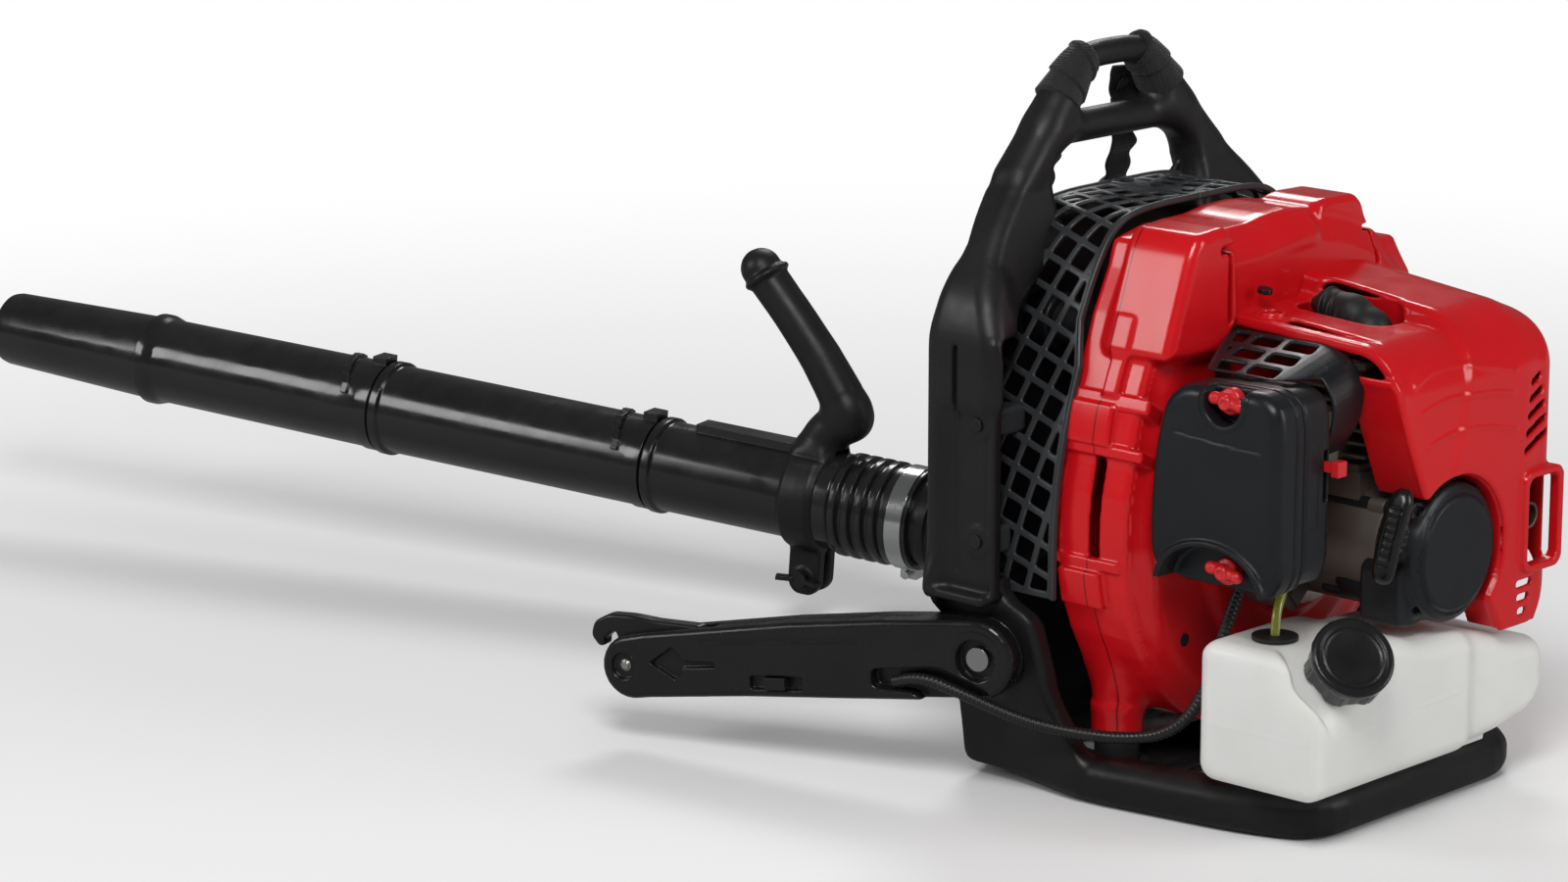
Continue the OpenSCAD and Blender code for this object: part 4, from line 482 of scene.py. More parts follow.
def capsule(g, a, b, ra, rb=None):
    """Round bar from a to b, tapering from ra to rb."""
    rb = ra if rb is None else rb
    a, b = np.array(a, np.float32), np.array(b, np.float32)
    e = b - a
    x, y, z = g.x - a[0], g.y - a[1], g.z - a[2]
    t = np.clip((x * e[0] + y * e[1] + z * e[2]) / (e @ e), 0, 1)
    away = np.sqrt((x - e[0] * t) ** 2 + (y - e[1] * t) ** 2 + (z - e[2] * t) ** 2)
    return away - (ra + (rb - ra) * t)


def chaikin(points, n=2):
    """Path with its corners cut n times; the ends stay."""
    pts = [np.array(p, float) for p in points]
    for _ in range(n):
        new = [pts[0]]
        for a, b in zip(pts[:-1], pts[1:]):
            new += [0.75 * a + 0.25 * b, 0.25 * a + 0.75 * b]
        pts = new + [pts[-1]]
    return np.array(pts)


def rod(g, points, radii, k=0.0):
    """Round bar along a path, with a radius at each point."""
    d = None
    for i in range(len(points) - 1):
        c = capsule(g, points[i], points[i + 1], radii[i], radii[i + 1])
        d = c if d is None else (either(d, c, k) if k else np.minimum(d, c))
    return d


def disc(u, v, w, centre, radius, lo, hi, r=0.0):
    """Round plate or peg along w."""
    return both(hyp(u - centre[0], v - centre[1]) - radius, slab(w, lo, hi), r)


AXIS = (0, 0)


class Grid:
    """Points step millimetres apart from lo to hi."""

    def __init__(self, lo, hi, step):
        self.lo, self.step = np.array(lo, float), step
        axes = [lo[i] + step * np.arange(int(math.ceil((hi[i] - lo[i]) / step)) + 1, dtype=np.float32)
                for i in range(3)]
        self.x, self.y, self.z = axes[0][:, None, None], axes[1][None, :, None], axes[2][None, None, :]
        self.shape = tuple(len(a) for a in axes)


CORNERS = [(i, j, k) for i in (0, 1) for j in (0, 1) for k in (0, 1)]
EDGES = [(a, b) for a in range(8) for b in range(a + 1, 8)
         if sum(abs(CORNERS[a][n] - CORNERS[b][n]) for n in range(3)) == 1]


def skin(d, grid):
    """Vertices, normals and quads on the surface where d is zero."""
    d = np.ascontiguousarray(d, np.float32)
    s = d < 0
    nx, ny, nz = d.shape
    count = np.zeros((nx - 1, ny - 1, nz - 1), np.uint8)
    for i, j, k in CORNERS:
        count += s[i:nx - 1 + i, j:ny - 1 + j, k:nz - 1 + k]
    cells = np.argwhere((count > 0) & (count < 8))
    index = np.full(count.shape, -1, np.int64)
    index[tuple(cells.T)] = np.arange(len(cells))
    value = [d[cells[:, 0] + i, cells[:, 1] + j, cells[:, 2] + k] for i, j, k in CORNERS]
    total, hits = np.zeros((len(cells), 3)), np.zeros(len(cells))
    for a, b in EDGES:
        cross = (value[a] < 0) != (value[b] < 0)
        t = np.where(cross, value[a] / np.where(cross, value[a] - value[b], 1), 0)
        p = np.array(CORNERS[a])[None] + t[:, None] * (np.array(CORNERS[b]) - np.array(CORNERS[a]))
        total += p * cross[:, None]
        hits += cross
    local = total / hits[:, None]
    # gradient of the trilinear field at each vertex: its normal, and one step onto the surface
    v8 = np.stack(value, 1).reshape(-1, 2, 2, 2)
    for _ in range(2):
        fx, fy, fz = local[:, 0], local[:, 1], local[:, 2]
        wx, wy, wz = np.stack([1 - fx, fx], 1), np.stack([1 - fy, fy], 1), np.stack([1 - fz, fz], 1)
        grad = np.stack([
            np.einsum("njk,nj,nk->n", v8[:, 1] - v8[:, 0], wy, wz),
            np.einsum("nik,ni,nk->n", v8[:, :, 1] - v8[:, :, 0], wx, wz),
            np.einsum("nij,ni,nj->n", v8[:, :, :, 1] - v8[:, :, :, 0], wx, wy)], 1)
        here = np.einsum("nijk,ni,nj,nk->n", v8, wx, wy, wz)
        size = np.maximum((grad ** 2).sum(1), 1e-6)
        move = np.clip(-here / size, -0.4, 0.4)[:, None] * grad
        local = np.clip(local + move, 0.0, 1.0)
    quads = []
    for axis in range(3):
        o1, o2 = [n for n in range(3) if n != axis]
        a = [slice(0, n) for n in d.shape]
        b = [slice(0, n) for n in d.shape]
        a[axis], b[axis] = slice(0, -1), slice(1, None)
        for o in (o1, o2):
            a[o] = b[o] = slice(1, -1)
        sa, sb = s[tuple(a)], s[tuple(b)]
        for flip, at in ((False, sa & ~sb), (True, ~sa & sb)):
            p = np.argwhere(at)
            if not len(p):
                continue
            ids = []
            for q1, q2 in ((0, 0), (1, 0), (1, 1), (0, 1)):
                c = p.copy()
                c[:, o1] += q1
                c[:, o2] += q2
                ids.append(index[tuple(c.T)])
            q = np.stack(ids, 1)
            if flip != (axis == 1):
                q = q[:, ::-1]
            quads.append(q)
    quads = np.concatenate(quads)
    points = (cells + local) * grid.step + grid.lo
    normals = grad / np.sqrt((grad ** 2).sum(1, keepdims=True) + 1e-12)
    return points, normals, quads


def mesh_object(name, points, quads, normals=None, material=None):
    mesh = bpy.data.meshes.new(name)
    n, k = len(quads), quads.shape[1]
    mesh.vertices.add(len(points))
    mesh.vertices.foreach_set("co", np.asarray(points, np.float32).ravel())
    mesh.loops.add(n * k)
    mesh.loops.foreach_set("vertex_index", np.asarray(quads, np.int32).ravel())
    mesh.polygons.add(n)
    mesh.polygons.foreach_set("loop_start", np.arange(0, n * k, k, dtype=np.int32))
    mesh.polygons.foreach_set("use_smooth", np.ones(n, bool))
    mesh.update(calc_edges=True)
    mesh.validate()
    if normals is not None:
        mesh.normals_split_custom_set_from_vertices(np.asarray(normals, np.float32))
    obj = bpy.data.objects.new(name, mesh)
    SCENE.collection.objects.link(obj)
    if material:
        mesh.materials.append(M[material])
    return obj


def sculpt(name, lo, hi, step, shape, material, body="machine", nodes=(), place=None):
    """shape(grid) gives the distances; place is a matrix in millimetres from the grid to the frame."""
    grid = Grid(lo, hi, step)
    d = np.broadcast_to(shape(grid), grid.shape).copy()
    for axis in range(3):
        for end in (0, -1):
            at = [slice(None)] * 3
            at[axis] = end
            d[tuple(at)] = np.maximum(d[tuple(at)], 0.3 * step)
    points, normals, quads = skin(d, grid)
    if place is not None:
        m = np.array(place, float)
        points = points @ m[:3, :3].T + m[:3, 3]
        normals = normals @ m[:3, :3].T
        if np.linalg.det(m[:3, :3]) < 0:
            quads = quads[:, ::-1]
    obj = mesh_object(name, points * MM, quads, normals, material)
    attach(obj, body)
    if nodes:
        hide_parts(*nodes)
    return obj


# ---------------------------------------------------------------- places, as in the CAD
def turn(axis, degrees):
    return Matrix.Rotation(math.radians(degrees), 4, axis)


def shift(x, y, z):
    return Matrix.Translation((x, y, z))


PIPE_YAW, PIPE_PITCH = 14, 4
PIPE = shift(150, 0, 72) @ turn("Z", PIPE_YAW) @ turn("X", -(90 - PIPE_PITCH))
ARM_PIVOT, ARM_YAW, ARM_PITCH = (-170, -42, 94), 15, -96
# the blade is drawn flat: u along it, v up, w out from the machine
ARM = (shift(*ARM_PIVOT) @ turn("Z", ARM_YAW) @ turn("X", ARM_PITCH)
       @ Matrix(((0, 0, -1, 0), (0, -1, 0, 0), (1, 0, 0, 0), (0, 0, 0, 1))))
SHAFT = (12, 172)
MOUNT_X, MOUNT_Y, MOUNT_TOP = 100, -98, 39.3
HOSE_AT = (-108, -232)


# ---------------------------------------------------------------- back frame
WALL_SCREWS_Z = (172, 250)


def frame_upper(g):
    x, y, z = g.x, g.y, g.z
    ax = np.abs(x)
    arch = [(-96, 398), (-54, 444), (-32, 468), (-14, 470.5)]
    arch += [(-a, b) for a, b in reversed(arch)]
    path = [(p[0], -2, p[1]) for p in eased(arch, 16, False)]
    handle = rod(g, path, [9 + 3.6 * min(1, max(0, (abs(p[0]) - 24) / 30)) for p in path])
    # broad posts: they deepen towards the side walls
    post = outline(ax, z, [
        (44, 444), (55, 452), (64, 447), (87, 420), (111, 398), (133, 378), (153, 355), (168, 333), (176, 310),
        (176, 262), (167, 262), (166, 290), (160, 308), (138, 318), (112, 334), (84, 346), (66, 356),
        (73, 370), (75, 386), (72, 402), (57, 416), (43, 430)], 12)
    depth = np.interp(z, [262, 300, 320, 340, 362, 390, 420, 450], [55, 52, 45, 36, 28, 20, 16, 13])
    face = np.where(z > 390, 10.0, 10.0 - np.clip((390 - z) / 30, 0, 1) * 10)
    post = both(post, np.maximum(y - face, -y - depth) * 0.9, 9)
    d = either(handle, post, 8)
    d = either(d, capsule(g, (-66, -2, 424), (66, -2, 424), 11), 12)
    # back plate with its rolled rim
    plate = outline(ax, z, [(0, 376), (60, 376), (86, 398), (114, 372), (156, 342), (176, 304),
                                  (176, 160), (184, 144), (184, 131), (0, 131)], 8)
    rim = hyp(plate + 3.5, y + 3.5) - 3.6
    d = either(d, both(plate, slab(y, -4, 0), 1.2), 2)
    d = either(d, both(rim, z - 366), 1.5)
    d = either(d, capsule(g, (-58, -8, 369), (58, -8, 369), 6.5), 4)
    # side walls: a channel open to the inside
    depth2 = np.interp(z, [290, 310, 330, 350], [53, 50, 41, 31])
    wall = both(outline(ax, z, [(148, 132), (176, 132), (176, 308), (167, 329), (148, 346)], 14),
                np.maximum(y, -y - depth2) * 0.9, 8)
    hollow = both(rect(ax, 120, 170, y, -75, -5, 5), slab(z, 137, 306), 4)
    d = less(either(d, wall, 14), hollow, 1.5)
    crease = both(slab(y, -24, -20.5), 175.0 - ax)
    d = less(d, both(crease, slab(z, 150, 300)), 0.8)
    lip = both(rect(ax, 167, 176, y, -53.5, -49, 2), slab(z, 134, 306), 2)
    d = either(d, lip, 1.5)
    for zc in WALL_SCREWS_Z:
        d = either(d, disc(y, z, ax, (-40, zc), 10, 169, 176.4, 1), 2)
    shelf = both(rect(ax, 150, 184, y, -51, 0, 5), slab(z, 130, 137), 2)
    d = either(d, shelf, 4)
    # sockets of the upper mounts
    for s in (-1, 1):
        d = either(d, disc(x, z, y, (s * 72, 300), 20, -26, -1, 2), 3)
    return d


sculpt("frame_upper", (-190, -60, 126), (190, 16, 486), 2.0, frame_upper, "black_moulding",
       nodes=["back_frame"])


# ---------------------------------------------------------------- mesh guards
GUARD = chaikin([(-152, 136.5), (-152, 190), (-145, 236), (-127, 292), (-104, 345), (-84, 372), (-58, 379.5),
                 (-0.2, 379.5)], 3)
GUARD_DEPTH = 75.5
MESH_ANGLE, MESH_PITCH, MESH_HOLE = 0.30, 18.5, 6.9


def lattice(side, name, node):
    """Half of the mesh guard: cut as a flat sheet, then bent round the rim of the casing."""
    path = np.array(GUARD)
    run = np.concatenate([[0], np.cumsum(np.sqrt((np.diff(path, axis=0) ** 2).sum(1)))])
    grid = Grid((-2, -2, -2), (run[-1] + 2, GUARD_DEPTH + 11, 6), 0.95)
    u, v, w = grid.x, grid.y, grid.z
    deep = GUARD_DEPTH + 8.5 * np.clip((run[-1] - 150 - u) / 30, 0, 1)
    sheet = both(rect(u, 0, run[-1], v, 0, deep), slab(w, 0, 2.6), 0.9)
    a = u * math.cos(MESH_ANGLE) + v * math.sin(MESH_ANGLE)
    b = v * math.cos(MESH_ANGLE) - u * math.sin(MESH_ANGLE)
    hole = both(*(np.abs((c / MESH_PITCH) % 1 - 0.5) * MESH_PITCH - MESH_HOLE for c in (a, b)), 1.5)
    field = both(rect(u, 5, run[-1] - 7, v, 6.5, deep - 6.5), w - 9, 2)
    d = less(sheet, both(hole, field, 1.2), 0.8)
    band = rect(w, 0, 4.4, u, 0, run[-1])
    d = either(d, both(slab(v, deep - 3, deep), band, 1), 0.8)
    d = either(d, both(slab(v, 0, 2.6), band, 1), 0.8)
    d = np.broadcast_to(d, grid.shape).copy()
    points, normals, quads = skin(d, grid)
    tangent = np.gradient(path, run, axis=0)
    tangent /= np.sqrt((tangent ** 2).sum(1, keepdims=True))
    t = np.stack([np.interp(points[:, 0], run, tangent[:, i]) for i in (0, 1)], 1)
    at = np.stack([np.interp(points[:, 0], run, path[:, i]) for i in (0, 1)], 1)
    over = points[:, 0] - np.clip(points[:, 0], 0, run[-1])
    at += t * over[:, None]
    bent = np.stack([at[:, 0] - t[:, 1] * points[:, 2], -4 - points[:, 1],
                     at[:, 1] + t[:, 0] * points[:, 2]], 1)
    turned = np.stack([t[:, 0] * normals[:, 0] - t[:, 1] * normals[:, 2], -normals[:, 1],
                       t[:, 1] * normals[:, 0] + t[:, 0] * normals[:, 2]], 1)
    if side > 0:
        bent[:, 0] *= -1
        turned[:, 0] *= -1
    else:
        quads = quads[:, ::-1]
    obj = mesh_object(name, bent * MM, quads, turned, "guard_black")
    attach(obj, "machine")
    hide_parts(node)


lattice(-1, "guard_left", "intake_guard_left")
lattice(1, "guard_right", "intake_guard_right")


def guard_tabs(g):
    x, y, z = np.abs(g.x), g.y, g.z
    d = None
    for zc, inner in zip(WALL_SCREWS_Z, (152, 139)):
        tab = both(rect(x, inner, 172, y, -49, -31), slab(z, zc - 9, zc + 9), 3)
        d = tab if d is None else np.minimum(d, tab)
    plate = both(both(slab(g.x, -5, 15), slab(y, -77, -5)), slab(z, 380.4, 383.2), 1.2)
    return np.minimum(d, plate)


sculpt("guard_tabs", (-176, -82, 158), (176, -2, 386), 1.6, guard_tabs, "guard_black")


def frame_base(g):
    x, y, z = g.x, g.y, g.z
    half = [(-108, -3), (-130, -100), (-114, -212), (-99, -257)]
    ring = eased(half + [(-a, b) for a, b in reversed(half)], 20)
    d = both(np.abs(outline(x, y, ring)) - 17, slab(z, 0, 30), 12)
    # legs up to the side walls
    for s, top_x, foot in ((-1, 150, 126), (1, 104, 104)):
        leg = np.abs(s * x - (foot + (top_x - foot) * np.clip(z / 130, 0, 1) ** 1.3) - 8) - 8
        span = outline(y, z, [(0, 150), (-50, 150), (-52, 134), (-76, 122), (-82, 66), (-104, 26),
                                    (-104, 8), (0, 8)], 10)
        d = either(d, both(leg, span, 5), 8)
    lower = both(outline(x, z, [(-184, 140), (-176, 124), (-152, 100), (-140, 50), (-126, 4), (104, 4),
                                (104, 118), (184, 124), (184, 140)]), slab(y, -5, 0), 2)
    d = either(d, lower, 3)
    d = either(d, both(rect(x, -100, 100, y, -122, -74, 8), slab(z, 6, 18), 4), 5)
    for s in (-1, 1):
        d = either(d, disc(x, y, z, (s * MOUNT_X, MOUNT_Y), 26, 4, 18, 3), 4)
    # boss of the throttle arm
    c, k = math.cos(math.radians(ARM_YAW)), math.sin(math.radians(ARM_YAW))
    u = (x - ARM_PIVOT[0]) * c + (y - ARM_PIVOT[1]) * k
    v = -(x - ARM_PIVOT[0]) * k + (y - ARM_PIVOT[1]) * c
    return either(d, both(hyp(v, z - ARM_PIVOT[2]) - 30, slab(u, 15.5, 30), 3), 5)


sculpt("frame_base", (-196, -282, -2), (196, 18, 146), 2.0, frame_base, "black_moulding",
       nodes=["back_frame"])


# ---------------------------------------------------------------- engine cover
def engine_cover(g):
    x, y, z = g.x, g.y, g.z
    lean = 0.985

    def body(inset):
        ledge = (z - (321 - (-y - 146) * 0.055)) * lean + inset
        hump = (z - (337 + (-y - 146) * -0.115)) * lean + inset
        rear = (-286 - y) + inset
        right = x - 124 + inset
        low = both(both(ledge, rear, max(34 - inset, 4)), right, 20)
        high = both(both(hump, rear, max(40 - inset, 4)), right, max(46 - inset, 4))
        flank = (24 + (-y - 180) * 0.04) - x + (z - 330) * 0.22
        high = both(high, flank + inset, 5)
        return either(low, high, 6)

    whole = body(0)
    outer = both(both(both(whole, -55 - x, 9), y + 146.3), 110 - z)
    inner = both(both(body(3.2), y + 147.5), -60 - x)
    d = less(outer, inner)
    # rolled lip along the left edge
    lip = both(both(whole, -(whole + 7)), slab(x, -55, -49))
    d = either(d, both(lip, 262 - z), 2.5)
    # the rear face's open lower left
    cut = outline(x, z, [(-90, 60), (66, 60), (62, 114), (44, 140), (26, 166), (-8, 196),
                               (-22, 214), (-44, 262), (-57, 296), (-90, 300)], 10)
    cut = either(cut, hyp(x - SHAFT[0], z - SHAFT[1]) - 52, 4)
    d = less(d, both(cut, y + 258), 2)
    # deep flared edge round that opening
    reach = np.where(x < -2, -247.0, -262.0)
    edge = both(np.abs(cut - 0.5) - 2.0, both(-284 - y, y - reach))
    edge = both(edge, both(body(1.0), 112 - z))
    edge = both(edge, both(-58 - x, x - 64))
    d = either(d, edge, 3)
    # window and its flange
    win = rect(x, 86, 119, z, 150, 208, 6)
    flange = both(both(rect(x, 80.5, 125, z, 144.5, 213.5, 9), slab(y, -291, -283)), -win)
    d = less(either(d, flange, 2.5), both(win, y + 262), 1)
    # lower right corner slopes away
    slope = outline(x, z, [(96, 60), (160, 60), (160, 152), (126, 146), (104, 112)])
    d = less(d, both(slope, y + 200), 2)
    low_wall = outline(y, z, [(-276, 60), (-276, 142), (-200, 204), (-146, 246), (-100, 250),
                                    (-100, 60)], 12)
    d = less(d, both(low_wall, 112 - x), 2)
    # cooling slots
    for i in range(5):
        zc, xc = 232 + i * 10.5, 98 - 0.8 * i
        dz = (z - zc) - (x - xc) * 0.36
        slot_d = both(np.abs(dz) - 2.4, np.abs(x - xc) - (15 - 2.2 * i), 2.2)
        d = less(d, both(slot_d, y + 268), 0.8)
    for i in range(3):
        slot_d = both(np.abs(z - (119 + i * 9.5)) - 2.3, np.abs(x - (86 + i)) - (5 + i * 2.2), 2)
        d = less(d, both(slot_d, y + 268), 0.8)
    # contour lines embossed in the rear face
    for pts in ([(-37, 290), (-20, 296), (10, 297), (42, 291), (69, 284)],
                [(-32, 271), (-6, 276.5), (40, 274), (67, 269)],
                [(-22, 248), (6, 254), (42, 251), (72, 244)]):
        line = None
        pts = chaikin(pts)
        for a, b in zip(pts[:-1], pts[1:]):
            ex, ez = b[0] - a[0], b[1] - a[1]
            t = np.clip(((x - a[0]) * ex + (z - a[1]) * ez) / (ex * ex + ez * ez), 0, 1)
            c = hyp(x - a[0] - ex * t, z - a[1] - ez * t)
            line = c if line is None else np.minimum(line, c)
        d = d - 0.9 * np.exp(-(line / 2.0) ** 2) * (y < -270)
    # recess for the plug boot, screw well and the spear-shaped groove beside it
    well = disc(x, y, z, (-40, -172), 6.5, 313, 350, 1)
    ring = both(np.abs(hyp(x + 40, y + 172) - 8) - 1.6, slab(z, 312, 323.5), 1)
    d = less(either(d, ring, 2), well, 1)
    groove = outline(x, y, [(-47, -186), (-33, -184), (-40, -262)], 3)
    d = less(d, both(groove, slab(z, 314.5, 350), 1), 2)
    well2 = rect(x, -7, 29, y, -234, -160, 15)
    d = less(d, both(well2, slab(z, 290, 360)), 3)
    side = both(both(np.abs(well2 - 1.2) - 1.3, slab(z, 300, 326)), body(0.5))
    d = either(d, side, 1.5)
    # room for the casing's dome
    d = less(d, disc(x, z, y, SHAFT, 91, -156, -140))
    return d


sculpt("engine_cover_shell", (-60, -294, 106), (130, -144, 344), 1.5, engine_cover, "red_gloss",
       nodes=["engine_cover"])


# ---------------------------------------------------------------- fan casing
# degrees round the shaft, radius
SCROLL = [(-42, 128), (-10, 128), (-9, 202), (5, 203), (20, 202), (36, 201), (50, 204), (62, 208),
          (80, 206), (100, 205), (118, 219), (121, 210), (137, 183), (160, 162), (180, 158), (205, 155),
          (232, 149), (250, 142), (270, 135), (300, 129), (318, 128)]


def scroll_point(a, inset=0.0):
    """Point of the casing's rim at a degrees round the shaft."""
    r = np.interp(a, [p[0] for p in SCROLL], [p[1] for p in SCROLL]) - inset
    t = math.radians(a)
    return (SHAFT[0] + r * math.cos(t), SHAFT[1] + r * math.sin(t))


def casing(g):
    x, y, z = g.x, g.y, g.z
    pts = [scroll_point(a) for a in range(-8, 319, 6)] + [(126, 100), (126, 118)]
    flat = outline(x, z, pts)
    rim = both(flat, slab(y, -140, -80), 6)
    body = both(flat + 7, slab(y, -149, -100), 16)
    d = either(rim, body, 5)
    d = either(d, disc(x, z, y, SHAFT, 89, -155, -130, 6), 8)
    d = either(d, disc(x, z, y, SHAFT, 65, -158.5, -130, 4), 4)
    # channel along the left rim between the front band and the body
    side = both(both(slab(y, -117, -108), -(flat + 8)), both(slab(z, 161, 243), x + 60))
    d = less(d, side, 2)
    # raised ribs, strap and clips on the rim
    for lo_a, hi_a, y0, y1, proud in (
            (147, 155.5, -121, -86, 5), (144.5, 147.5, -148, -81, 2.5), (155, 157.5, -148, -81, 2.5),
            (131, 145, -122, -109, 5), (184.5, 193.5, -120, -86, 6), (181.5, 184, -135, -81, 2)):
        wedge = outline(x, z, [scroll_point(a, -proud) for a in np.linspace(lo_a, hi_a, 8)]
                        + [scroll_point(a, 14) for a in np.linspace(hi_a, lo_a, 8)])
        d = either(d, both(wedge, slab(y, y0, y1), 2), 2)
    # box at the upper left, with its T-shaped slot
    box_xz = outline(x, z, [(-128, 300), (-104, 366), (-96, 378), (-66, 380), (-58, 372), (-52, 318),
                                  (-70, 296)], 6)
    d = either(d, both(box_xz, slab(y, -157, -100), 7), 6)
    slot = both(rect(x, -66, -60, z, 316, 368, 1), y + 132)
    bar = both(rect(x, -74, -50, z, 362, 367, 1), y + 136)
    d = less(d, either(slot, bar), 1.2)
    # blocks along the top
    for poly, y0, y1, r in (
            ([(-94, 352), (-92, 366), (-60, 372), (-50, 330), (-70, 330)], -140, -82, 5),
            ([(-22, 338), (-16, 371), (-6, 374), (26, 376), (34, 366), (38, 338)], -133, -88, 5),
            ([(44, 338), (48, 377), (56, 380), (90, 379), (98, 372), (112, 334)], -142, -94, 5),
            ([(114, 310), (124, 343), (140, 344), (158, 316), (150, 290)], -138, -100, 5)):
        d = either(d, both(outline(x, z, eased(poly, 4)), slab(y, y0, y1), r), 6)
    t_slot = both(rect(x, 104, 109, z, 330, 372, 1), y + 128)
    d = less(d, either(t_slot, both(rect(x, 96, 116, z, 352, 357, 1), y + 128)), 1.2)
    # rounded ridge between the first two blocks
    d = either(d, capsule(g, (-30, -128, 352), (34, -140, 362), 9, 7), 8)
    # columns down to the rubber mounts
    for s, top in ((-1, 92), (1, 104)):
        d = either(d, capsule(g, (s * MOUNT_X, MOUNT_Y, 58), (s * 96, -100, top), 17, 20), 14)
        d = either(d, disc(x, y, z, (s * MOUNT_X, MOUNT_Y), 17.5, MOUNT_TOP, 60, 1.5), 3)
    # duct down to the outlet
    d = either(d, both(outline(x, z, [(130, 117), (222, 117), (222, 190), (130, 190)], 8),
                       slab(y, -146, -78), 10), 8)
    d = both(d, MOUNT_TOP - z)
    # hollow inside, inlet in the front wall
    d = less(d, both(flat + 4, slab(y, -138, -84)))
    return less(d, disc(x, z, y, SHAFT, 76, -90, -70), 2)


sculpt("casing_shell", (-152, -162, 37), (228, -76, 386), 1.7, casing, "casing_red",
       nodes=["volute_front", "volute_rear"])


# ---------------------------------------------------------------- air cleaner
KNOB_Y = -217.5
KNOB_Z = {"top": 287, "bottom": 177}


def cleaner_face(g):
    """Outline of the air cleaner seen from its front, along x."""
    return outline(g.y, g.z, [(-158, 178), (-157.5, 205), (-161.5, 254), (-169, 284), (-184, 295),
                              (-246, 297), (-259, 289), (-262, 272), (-262, 180), (-254, 165),
                              (-172, 164)], 17)


def cleaner_lid(g):
    x, y, z = g.x, g.y, g.z
    face = cleaner_face(g)
    # the front bulges by a few millimetres
    u, v = (y + 210) / 51.0, (z - 230) / 66.0
    front = -150.0 + 1.6 * u * u + 2.0 * v * v - x
    d = both(face, front, 8)
    d = both(d, x + 121.2, 1)
    # waist line, a shallow panel and the lip that grips the case
    d = less(d, both(slab(x, -129.6, -128.2), -(face + 1.0)), 0.5)
    crease = np.abs(z - 262 - 0.06 * (y + 210)) + np.maximum(0, np.abs(y + 214) - 34)
    d = d + 0.7 * np.exp(-(crease / 0.9) ** 2) * (x < -143)
    # scoop round the upper knob
    top_z = KNOB_Z["top"]
    knob = hyp(y - KNOB_Y, z - top_z)
    scoop = either(knob - 15, both(slab(y, KNOB_Y - 15, KNOB_Y + 15), top_z - z))
    d = less(d, both(scoop, x + 134.5), 2.5)
    collar = both(np.abs(knob - 16.2) - 1.5, slab(x, -149.5, -138))
    d = either(d, both(collar, z - 293), 2)
    # arch and flared skirt over the lower knob
    low = hyp((y + 210) / 1.4, z - 165) - 29
    d = less(d, both(low, x + 134.5), 2)
    skirt = both(both(np.abs(low - 0.8) - 1.6, slab(x, -151.8, -134)), 167 - z)
    d = either(d, skirt, 2.5)
    # distances near the rim stay within 1 mm
    d = either(d, both(both(slab(x, -136.5, -133.5), face + 2), 1.0), 1)
    # inside
    inner = both(face + 3.0, front + 3.4, 9)
    keep = both(np.minimum(knob - 18.5, low - 3), x + 133.0)
    d = less(d, less(both(inner, slab(x, -160, -118)), keep))
    for z0 in KNOB_Z.values():
        d = less(d, disc(y, z, x, (KNOB_Y, z0), 3.0, -160, -120))
    return d


sculpt("cleaner_lid", (-154, -267, 159), (-119, -152, 301), 1.15, cleaner_lid, "cleaner_black",
       "cleaner_cover", ["air_cleaner_cover"])


def cleaner_case(g):
    x, y, z = g.x, g.y, g.z
    face = cleaner_face(g)
    d = both(face + 2.4, slab(x, -120.7, -88.3), 7)
    d = either(d, both(face + 5.2, slab(x, -128.4, -112), 1.5), 1)
    d = either(d, both(np.abs(face + 2.0) - 1.8, slab(x, -120.6, -117.5), 1), 1)
    d = less(d, both(face + 18, slab(x, -140, -92)), 1)
    for z0 in KNOB_Z.values():
        d = either(d, disc(y, z, x, (KNOB_Y, z0), 4.4, -129.7, -118), 1)
        d = less(d, disc(y, z, x, (KNOB_Y, z0), 2.7, -133, -112))
    d = less(d, both(rect(x, -97.5, -92.2, z, 221, 255, 1), y + 238), 0.6)
    # label plate, left bare, and a stiffening rib
    d = either(d, both(rect(x, -112, -104, z, 206, 262, 1), slab(y, -259.8, -250)), 0.8)
    d = less(d, disc(y, z, x, (-205, 248), 13, -92.5, -80))
    return d


sculpt("cleaner_case_shell", (-134, -265, 162), (-84, -153, 300), 1.15, cleaner_case, "cleaner_black",
       nodes=["air_cleaner_case"])


def wing_knob(z0):
    def shape(g):
        x, y, z = g.x, g.y - KNOB_Y, g.z - z0
        d = both(hyp(y, z) - 8.8, slab(x, -142, -134.4), 2)
        for s in (-1, 1):
            d = either(d, capsule(g, (-142.5, KNOB_Y + s * 3, z0 + s * 0.5),
                                  (-143.5, KNOB_Y + s * 10.2, z0 + s * 1.6), 3.2, 4.2), 2.5)
        d = either(d, both(hyp(y, z) - 5, slab(x, -148.5, -138), 2), 2)
        d = less(d, both(hyp(y, z) - 2.0, slab(x, -152, -147.2)), 0.5)
        return either(d, both(hyp(y, z) - 2.45, slab(x, -138, -114), 0.5), 0.5)
    return shape


for label, z0 in KNOB_Z.items():
    sculpt("wing_knob_" + label, (-150, KNOB_Y - 16, z0 - 11), (-112, KNOB_Y + 16, z0 + 11), 0.7,
           wing_knob(z0), "red_trim", label + "_knob", ["cover_knob_" + label])


